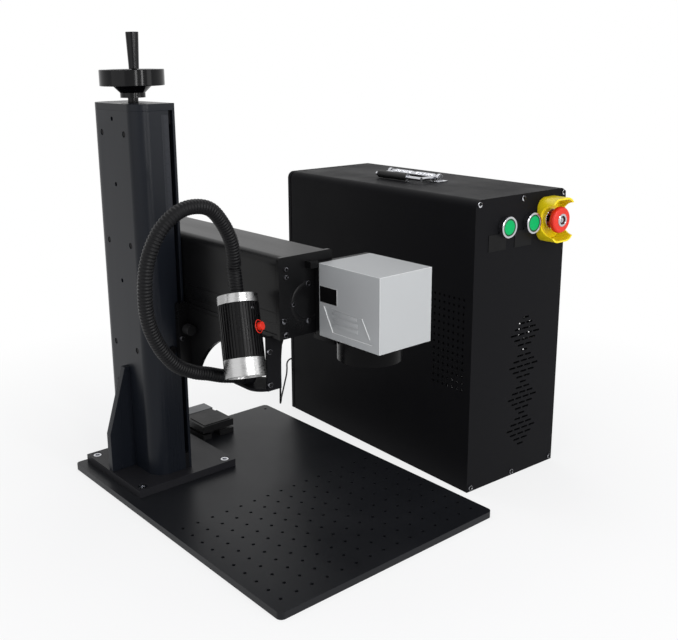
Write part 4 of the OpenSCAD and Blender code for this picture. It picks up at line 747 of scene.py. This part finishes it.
# Push buttons: bright face, and the metal collar round it that stands as tall
def make_button_faces():
    for u, node in zip(BUTTON_U, ("button_left", "button_right")):
        place = front_frame(u, BUTTON_W, BUTTON_OUT)
        profile = [(0, 0.25), (7.0, 0.22), (10.4, 0.1), (10.7, -0.2), (0, -0.2)]
        turned_piece(node + "_face", body_name(node), GREEN, profile, place)
        collar = [(12.8, -8.0), (12.8, 0.2), (13.2, 0.7), (15.3, 0.7), (15.9, 0.2), (15.9, -8.6)]
        turned_piece(node + "_collar", body_name("button_bezels"), CHROME, collar, place)


# Axes of a node's screws, from the middles of its loose bodies
def screw_axes(node, place):
    shape = bmesh.new()
    shape.from_mesh(nodes[node].data)
    bmesh.ops.remove_doubles(shape, verts=shape.verts, dist=CAD_WELD)
    back = place.inverted()
    axes = []
    for first in shape.verts:
        if first.tag:
            continue
        first.tag = True
        group = [first]
        for vert in group:
            for edge in vert.link_edges:
                other = edge.other_vert(vert)
                if not other.tag:
                    other.tag = True
                    group.append(other)
        spots = [back @ vert.co for vert in group]
        across = [spot.x for spot in spots]
        up = [spot.z for spot in spots]
        axes.append(((min(across) + max(across)) / 2, (min(up) + max(up)) / 2))
    shape.free()
    return axes


# Test for the faces inside the key sockets of a node's screws, painted black as the shade in them
def painted_socket_shade(node, place=Matrix()):
    axes = screw_axes(node, place)
    back = place.inverted()

    def test(centre, normal):
        at = back @ centre
        return any(math.hypot(at.x - x, at.z - z) < SOCKET_R * MM for x, z in axes)

    return test


# Rounded rim of the front panel, where the highlight is painted
def on_panel_rim_highlight(centre, normal):
    at = cabinet_frame().inverted() @ centre / MM
    side = min(at.x, CABINET_SIZE[0] - at.x) < RIM_SIDE
    end = min(at.z, CABINET_SIZE[2] - at.z) < RIM_END
    slanted = max(abs(normal.x), abs(normal.y), abs(normal.z)) < RIM_SLANT
    return slanted and (side or end) and at.y < RIM_DEPTH


# Rubber grip round the handle's far bar
def on_handle_grip(centre, normal):
    at = cabinet_frame().inverted() @ centre / MM
    off = math.hypot(at.x - HANDLE_GRIP_U, at.z - HANDLE_PIVOT[2])
    along = HANDLE_GRIP_RUN[0] < at.y < HANDLE_GRIP_RUN[1]
    return HANDLE_GRIP_R[0] < off < HANDLE_GRIP_R[1] and along


# Coil spring of round wire, along its axis
def coil_tree():
    tree, size = new_tree("coil_spring", {
        "Turns": "Float", "Coil Radius": "Float", "Pitch": "Float", "Wire": "Float"})
    height = put(tree, "ShaderNodeMath", {0: size["Turns"], 1: size["Pitch"]},
                 operation="MULTIPLY")
    line = put(tree, "GeometryNodeCurveSpiral", {
        "Resolution": 14, "Rotations": size["Turns"], "Start Radius": size["Coil Radius"],
        "End Radius": size["Coil Radius"], "Height": height.outputs["Value"]})
    wire = put(tree, "GeometryNodeCurvePrimitiveCircle", {
        "Resolution": 8, "Radius": size["Wire"]})
    skin = put(tree, "GeometryNodeCurveToMesh", {
        "Curve": line.outputs["Curve"], "Profile Curve": wire.outputs["Curve"],
        "Fill Caps": True})
    close_tree(tree, skin.outputs["Mesh"], CHROME)
    return tree


# The two springs on the handle's pivot rod
def make_springs():
    tree = coil_tree()
    sizes = {"Turns": 17.0, "Coil Radius": 4.5 * MM, "Pitch": 2.4 * MM, "Wire": 0.95 * MM}
    u, v, w = HANDLE_PIVOT
    for end, start, tip in (("front", -SPRING_START, 90), ("back", SPRING_START, -90)):
        place = cabinet_frame() @ Matrix.Translation(Vector((u, v + start, w)) * MM)
        place = place @ Matrix.Rotation(math.radians(tip), 4, "X")
        grow("spring_" + end, tree, sizes, body_name("handle_bail"), place=place)


# Label plate sunk in the head's side
def on_head_label(centre, normal):
    return centre.x < (HEAD_X - 0.3) * MM


# Rounded edges and slanted walls of the head's casting, which carry a painted highlight
def on_head_edge_highlight(centre, normal):
    return max(abs(normal.x), abs(normal.y), abs(normal.z)) < EDGE_SLANT


# Soft raised bars in the pocket on the head's side
def make_pocket_bars():
    def build(shape):
        for front, z in ((-206, 322.6), (-207, 314.2), (-208, 305.8)):
            low = (HEAD_X + 0.25, front, z - BAR_HALF_H)
            high = (HEAD_X + 1.2, BAR_END_Y, z + BAR_HALF_H)
            box_into(shape, low, high, 0.7)

    mesh = mesh_from("pocket_bars", build, ROUND_ANGLE)
    add_object("pocket_bars", mesh, "lift", SILVER)


# Bead along the pocket's slanted front edge, in the lighter enamel: a painted highlight
def make_pocket_lip():
    ends = [Vector((HEAD_X + 0.2, -216.4, 326.6)) * MM, Vector((HEAD_X + 0.2, -231.5, 301.9)) * MM]
    line = even_points(ends, 6)
    radii = [0.75 * MM] * len(line)
    mesh = mesh_from("pocket_lip", lambda s: tube(s, line, radii, 10), ROUND_ANGLE)
    add_object("pocket_lip", mesh, "lift", ENAMEL_HIGHLIGHT)


# Plain ticks on the height scale, longer at every fifth and tenth
def tick_tree():
    tree, size = new_tree("scale_ticks", {"Count": "Int", "Step": "Float", "Short": "Float"})
    lift = put(tree, "ShaderNodeCombineXYZ", {"Z": size["Step"]}).outputs["Vector"]
    line = put(tree, "GeometryNodeMeshLine", {"Count": size["Count"], "Offset": lift})
    index = put(tree, "GeometryNodeInputIndex")
    number = put(tree, "ShaderNodeMath", {0: index.outputs["Index"], 1: 1.0}, operation="ADD")
    length = size["Short"]
    for every, more in TICK_LONGER:
        rest = put(tree, "ShaderNodeMath", {0: number.outputs["Value"], 1: every},
                   operation="MODULO")
        here = put(tree, "ShaderNodeMath", {0: rest.outputs["Value"], 1: 0.5},
                   operation="LESS_THAN")
        extra = put(tree, "ShaderNodeMath", {0: here.outputs["Value"], 1: more},
                    operation="MULTIPLY")
        longer = put(tree, "ShaderNodeMath", {
            0: extra.outputs["Value"], 1: size["Short"], 2: length}, operation="MULTIPLY_ADD")
        length = longer.outputs["Value"]
    bar = put(tree, "GeometryNodeMeshCube", {
        "Size": (1.0, TICK_DEEP * MM, TICK_THICK * MM)})
    ahead = put(tree, "GeometryNodeTransform", {
        "Geometry": bar.outputs["Mesh"], "Translation": (0.5, 0.0, 0.0)})
    spread = put(tree, "ShaderNodeCombineXYZ", {"X": length, "Y": 1.0, "Z": 1.0})
    ticks = put(tree, "GeometryNodeInstanceOnPoints", {
        "Points": line.outputs["Mesh"], "Instance": ahead.outputs["Geometry"],
        "Scale": spread.outputs["Vector"]})
    close_tree(tree, ticks.outputs["Instances"], LABEL)
    return tree


# The ticks set on the column's strip
def make_scale():
    sizes = {"Count": int(SCALE_LEN / SCALE_STEP) - 1, "Step": SCALE_STEP * MM,
             "Short": TICK_SHORT * MM}
    low = SCALE_TOP - SCALE_LEN + SCALE_STEP
    place = Matrix.Translation(Vector((SCALE_X + 0.8, SCALE_Y + 0.07, low)) * MM)
    grow("scale_marks", tick_tree(), sizes, "frame", place=place, smooth=30.0)


# Grey back of the foot switch
def on_pedal_rear(centre, normal):
    return centre.y > (PEDAL_REAR_Y - 0.4) * MM and centre.z > PEDAL_REAR_Z * MM


# Rubber pad on the treadle
def on_pedal_pad(centre, normal):
    return centre.z > PEDAL_PAD_Z * MM


# Raised round seat on the arm's front plate
def make_seat_ring():
    place = Matrix.Translation(Vector(SEAT_AT) * MM)
    place = place @ Matrix.Rotation(math.radians(90), 4, "X")
    profile = [(22.5, -0.2), (23.2, 0.7), (27.2, 0.7), (28.4, 0.1), (28.4, -0.4)]
    turned_piece("seat_ring", "lift", ARM_BLACK, profile, place, sides=96)


# Rays that show the white ground: straight, mirrored or through glass
def seen_rays(tree):
    path = put(tree, "ShaderNodeLightPath").outputs
    value = path["Is Camera Ray"]
    for name in ("Is Glossy Ray", "Is Transmission Ray"):
        more = put(tree, "ShaderNodeMath", {0: value, 1: path[name]}, operation="MAXIMUM")
        value = more.outputs["Value"]
    return value


# White ground that keeps the object's soft shadow near it
def make_floor():
    def build(shape):
        bmesh.ops.create_grid(shape, x_segments=2, y_segments=2, size=GROUND_REACH)

    mesh = mesh_from("floor", build)
    floor = new_object("floor", mesh)
    floor.location = GROUND_AT
    material = bpy.data.materials.new("white_paper")
    material.use_nodes = True
    tree = material.node_tree
    tree.nodes.clear()
    paper = put(tree, "ShaderNodeBsdfDiffuse", {"Color": paint("f8f8f8")})
    glow = put(tree, "ShaderNodeEmission", {"Color": (1, 1, 1, 1)})
    where = put(tree, "ShaderNodeTexCoord").outputs["Object"]
    far = put(tree, "ShaderNodeVectorMath", {0: where}, operation="LENGTH").outputs["Value"]
    span = put(tree, "ShaderNodeMapRange", {
        "Value": far, "From Min": GLOW_NEAR, "From Max": GLOW_FAR, "To Min": GLOW_UNDER})
    share = put(tree, "ShaderNodeMath", {0: seen_rays(tree), 1: span.outputs["Result"]},
                operation="MULTIPLY")
    mix = put(tree, "ShaderNodeMixShader", {
        "Fac": share.outputs["Value"], 1: paper.outputs["BSDF"], 2: glow.outputs["Emission"]})
    put(tree, "ShaderNodeOutputMaterial", {"Surface": mix.outputs["Shader"]})
    mesh.materials.append(material)


# A soft box that points at a target
def add_light(name, place, target, size, power):
    data = bpy.data.lights.new(name, "AREA")
    data.shape = "RECTANGLE"
    data.size = size[0]
    data.size_y = size[1]
    data.energy = power
    light = new_object(name, data)
    light.location = place
    aim = Vector(target) - Vector(place)
    light.rotation_euler = aim.to_track_quat("-Z", "Y").to_euler()


# Plain studio light, white only where it is seen or mirrored
def make_light():
    world = bpy.data.worlds.new("studio")
    bpy.context.scene.world = world
    world.use_nodes = True
    tree = world.node_tree
    tree.nodes.clear()
    white = put(tree, "ShaderNodeBackground", {"Color": (1, 1, 1, 1)})
    soft = put(tree, "ShaderNodeBackground", {"Color": paint("f6f8ff"), "Strength": 0.4})
    mix = put(tree, "ShaderNodeMixShader", {
        "Fac": seen_rays(tree), 1: soft.outputs["Background"], 2: white.outputs["Background"]})
    put(tree, "ShaderNodeOutputWorld", {"Surface": mix.outputs["Shader"]})
    for box in SOFT_BOXES:
        add_light(*box)
    bpy.context.scene.view_settings.view_transform = "Standard"


make_camera()
cable_line = make_cable()
make_gooseneck()

# Stand
eased("base_plate", PLATE, 0.5)
eased("column_foot", ANODISED, 0.5)
eased("foot_bolts", CHROME, 0.3)
eased("column_shell", COLUMN, 0.35)
eased("column_cover", COLUMN, 0.5)
eased("column_cap", COLUMN, 0.5)
# Column screws: drawn near black, partly as the shade of their counterbores
eased("column_screws", BLACK_STEEL_AND_SHADE, 0.2)
eased("gusset", COLUMN, 0.5)
eased("height_scale", SCALE_FACE, 0.1)
make_scale()

# Handwheel, arm, scan head and lamp
eased("handwheel", GLOSS, 0.8, steps=3)
eased("handwheel_grip", GLOSS, 0.8, steps=3)
eased("yoke_wings", ARM_BLACK, 0.6)
eased("lock_knob", PLASTIC, 0.5)
eased("arm_bracket", ARM_BLACK, 0.6)
eased("arm_base", ARM_BLACK, 0.5)
eased("arm_hood", ARM_BLACK, 0.5)
eased("arm_end_plates", ARM_BLACK, 0.6)
# Arm screws: the insides of their sockets are painted black as shade
eased("arm_screws", STEEL, 0.25, areas=[(painted_socket_shade("arm_screws"), LABEL)])
eased("head_back_plate", ARM_BLACK, 0.4)
# Head: its edges and slanted walls get a painted highlight, and its label plate is black
eased("head_housing", SILVER, 1.1, steps=3,
      areas=[(on_head_edge_highlight, ENAMEL_HIGHLIGHT), (on_head_label, LABEL)])
eased("head_shelf", ARM_BLACK, 0.4)
eased("lens_barrel", LENS_BLACK, 0.5)
eased("gooseneck_bracket", COATED, 0.4)
eased("lamp_cap", TURNED, 0.5)
eased("lamp_body", FINS, 0.25)
eased("lamp_bezel", TURNED, 0.5, areas=[(on_lamp_glass, DIFFUSER)])
eased("lamp_button", RED, 0.6, steps=3)
make_lamp_trim()
make_pocket_bars()
make_pocket_lip()
make_seat_ring()

# Inner pieces
for name, material in (
    ("bearing_blocks", COATED), ("guide_rails", DARK_STEEL), ("lead_screw", STEEL),
    ("carriage_block", MILLED), ("lift_nut", BRASS), ("carriage_plate", STEEL),
    ("beam_optics", MILLED), ("scan_motors", STEEL), ("scan_mirror_x", MIRROR),
    ("scan_mirror_y", MIRROR), ("lens_glass", COATING), ("laser_source", MILLED),
    ("rear_fittings", PLASTIC), ("fan_frame", PLASTIC), ("fan_rotor", PLASTIC),
    ("stop_plunger", PLASTIC), ("cabinet_base", COATED),
):
    finish_node(name, material)

# Cabinet
eased("cabinet_wrap", COATED, 0.5)
# Front panel: its rounded rim gets a painted highlight
eased("front_panel", COATED, 0.9, steps=3, areas=[(on_panel_rim_highlight, COATED_RIM_HIGHLIGHT)])
eased("rear_panel", COATED, 0.3)
# Panel screws: the insides of their sockets are painted black as shade
eased("panel_screws", CHROME, 0.3,
      areas=[(painted_socket_shade("panel_screws", cabinet_frame()), LABEL)])
eased("button_bezels", CHROME, 0.6, steps=3)
eased("button_left", DEEP_GREEN, 0.5)
eased("button_right", DEEP_GREEN, 0.5)
make_button_faces()
eased("stop_guard", YELLOW, 0.6, steps=3)
eased("stop_mushroom", RED, 0.5)
make_lock()
eased("handle_brackets", CHROME, 0.4)
eased("handle_bail", CHROME, 0.4, areas=[(on_handle_grip, RUBBER)])
make_springs()
eased("label_tags", LABEL, 0.3)

# Foot switch
eased("pedal_base", PLASTIC, 0.5, areas=[(on_pedal_rear, PEDAL_GREY)])
eased("pedal_treadle", PLASTIC, 0.5, areas=[(on_pedal_pad, RUBBER)])

# Sleeves over the cable's first and last steps
arm_end = even_points(cable_line[:9], 12)
back_end = even_points(cable_line[:-7:-1], 12)
make_sleeve("cable_sleeve_arm", "lift", arm_end, 3.2)
make_sleeve("cable_sleeve_back", "frame", back_end, 4.6)

make_floor()
make_light()
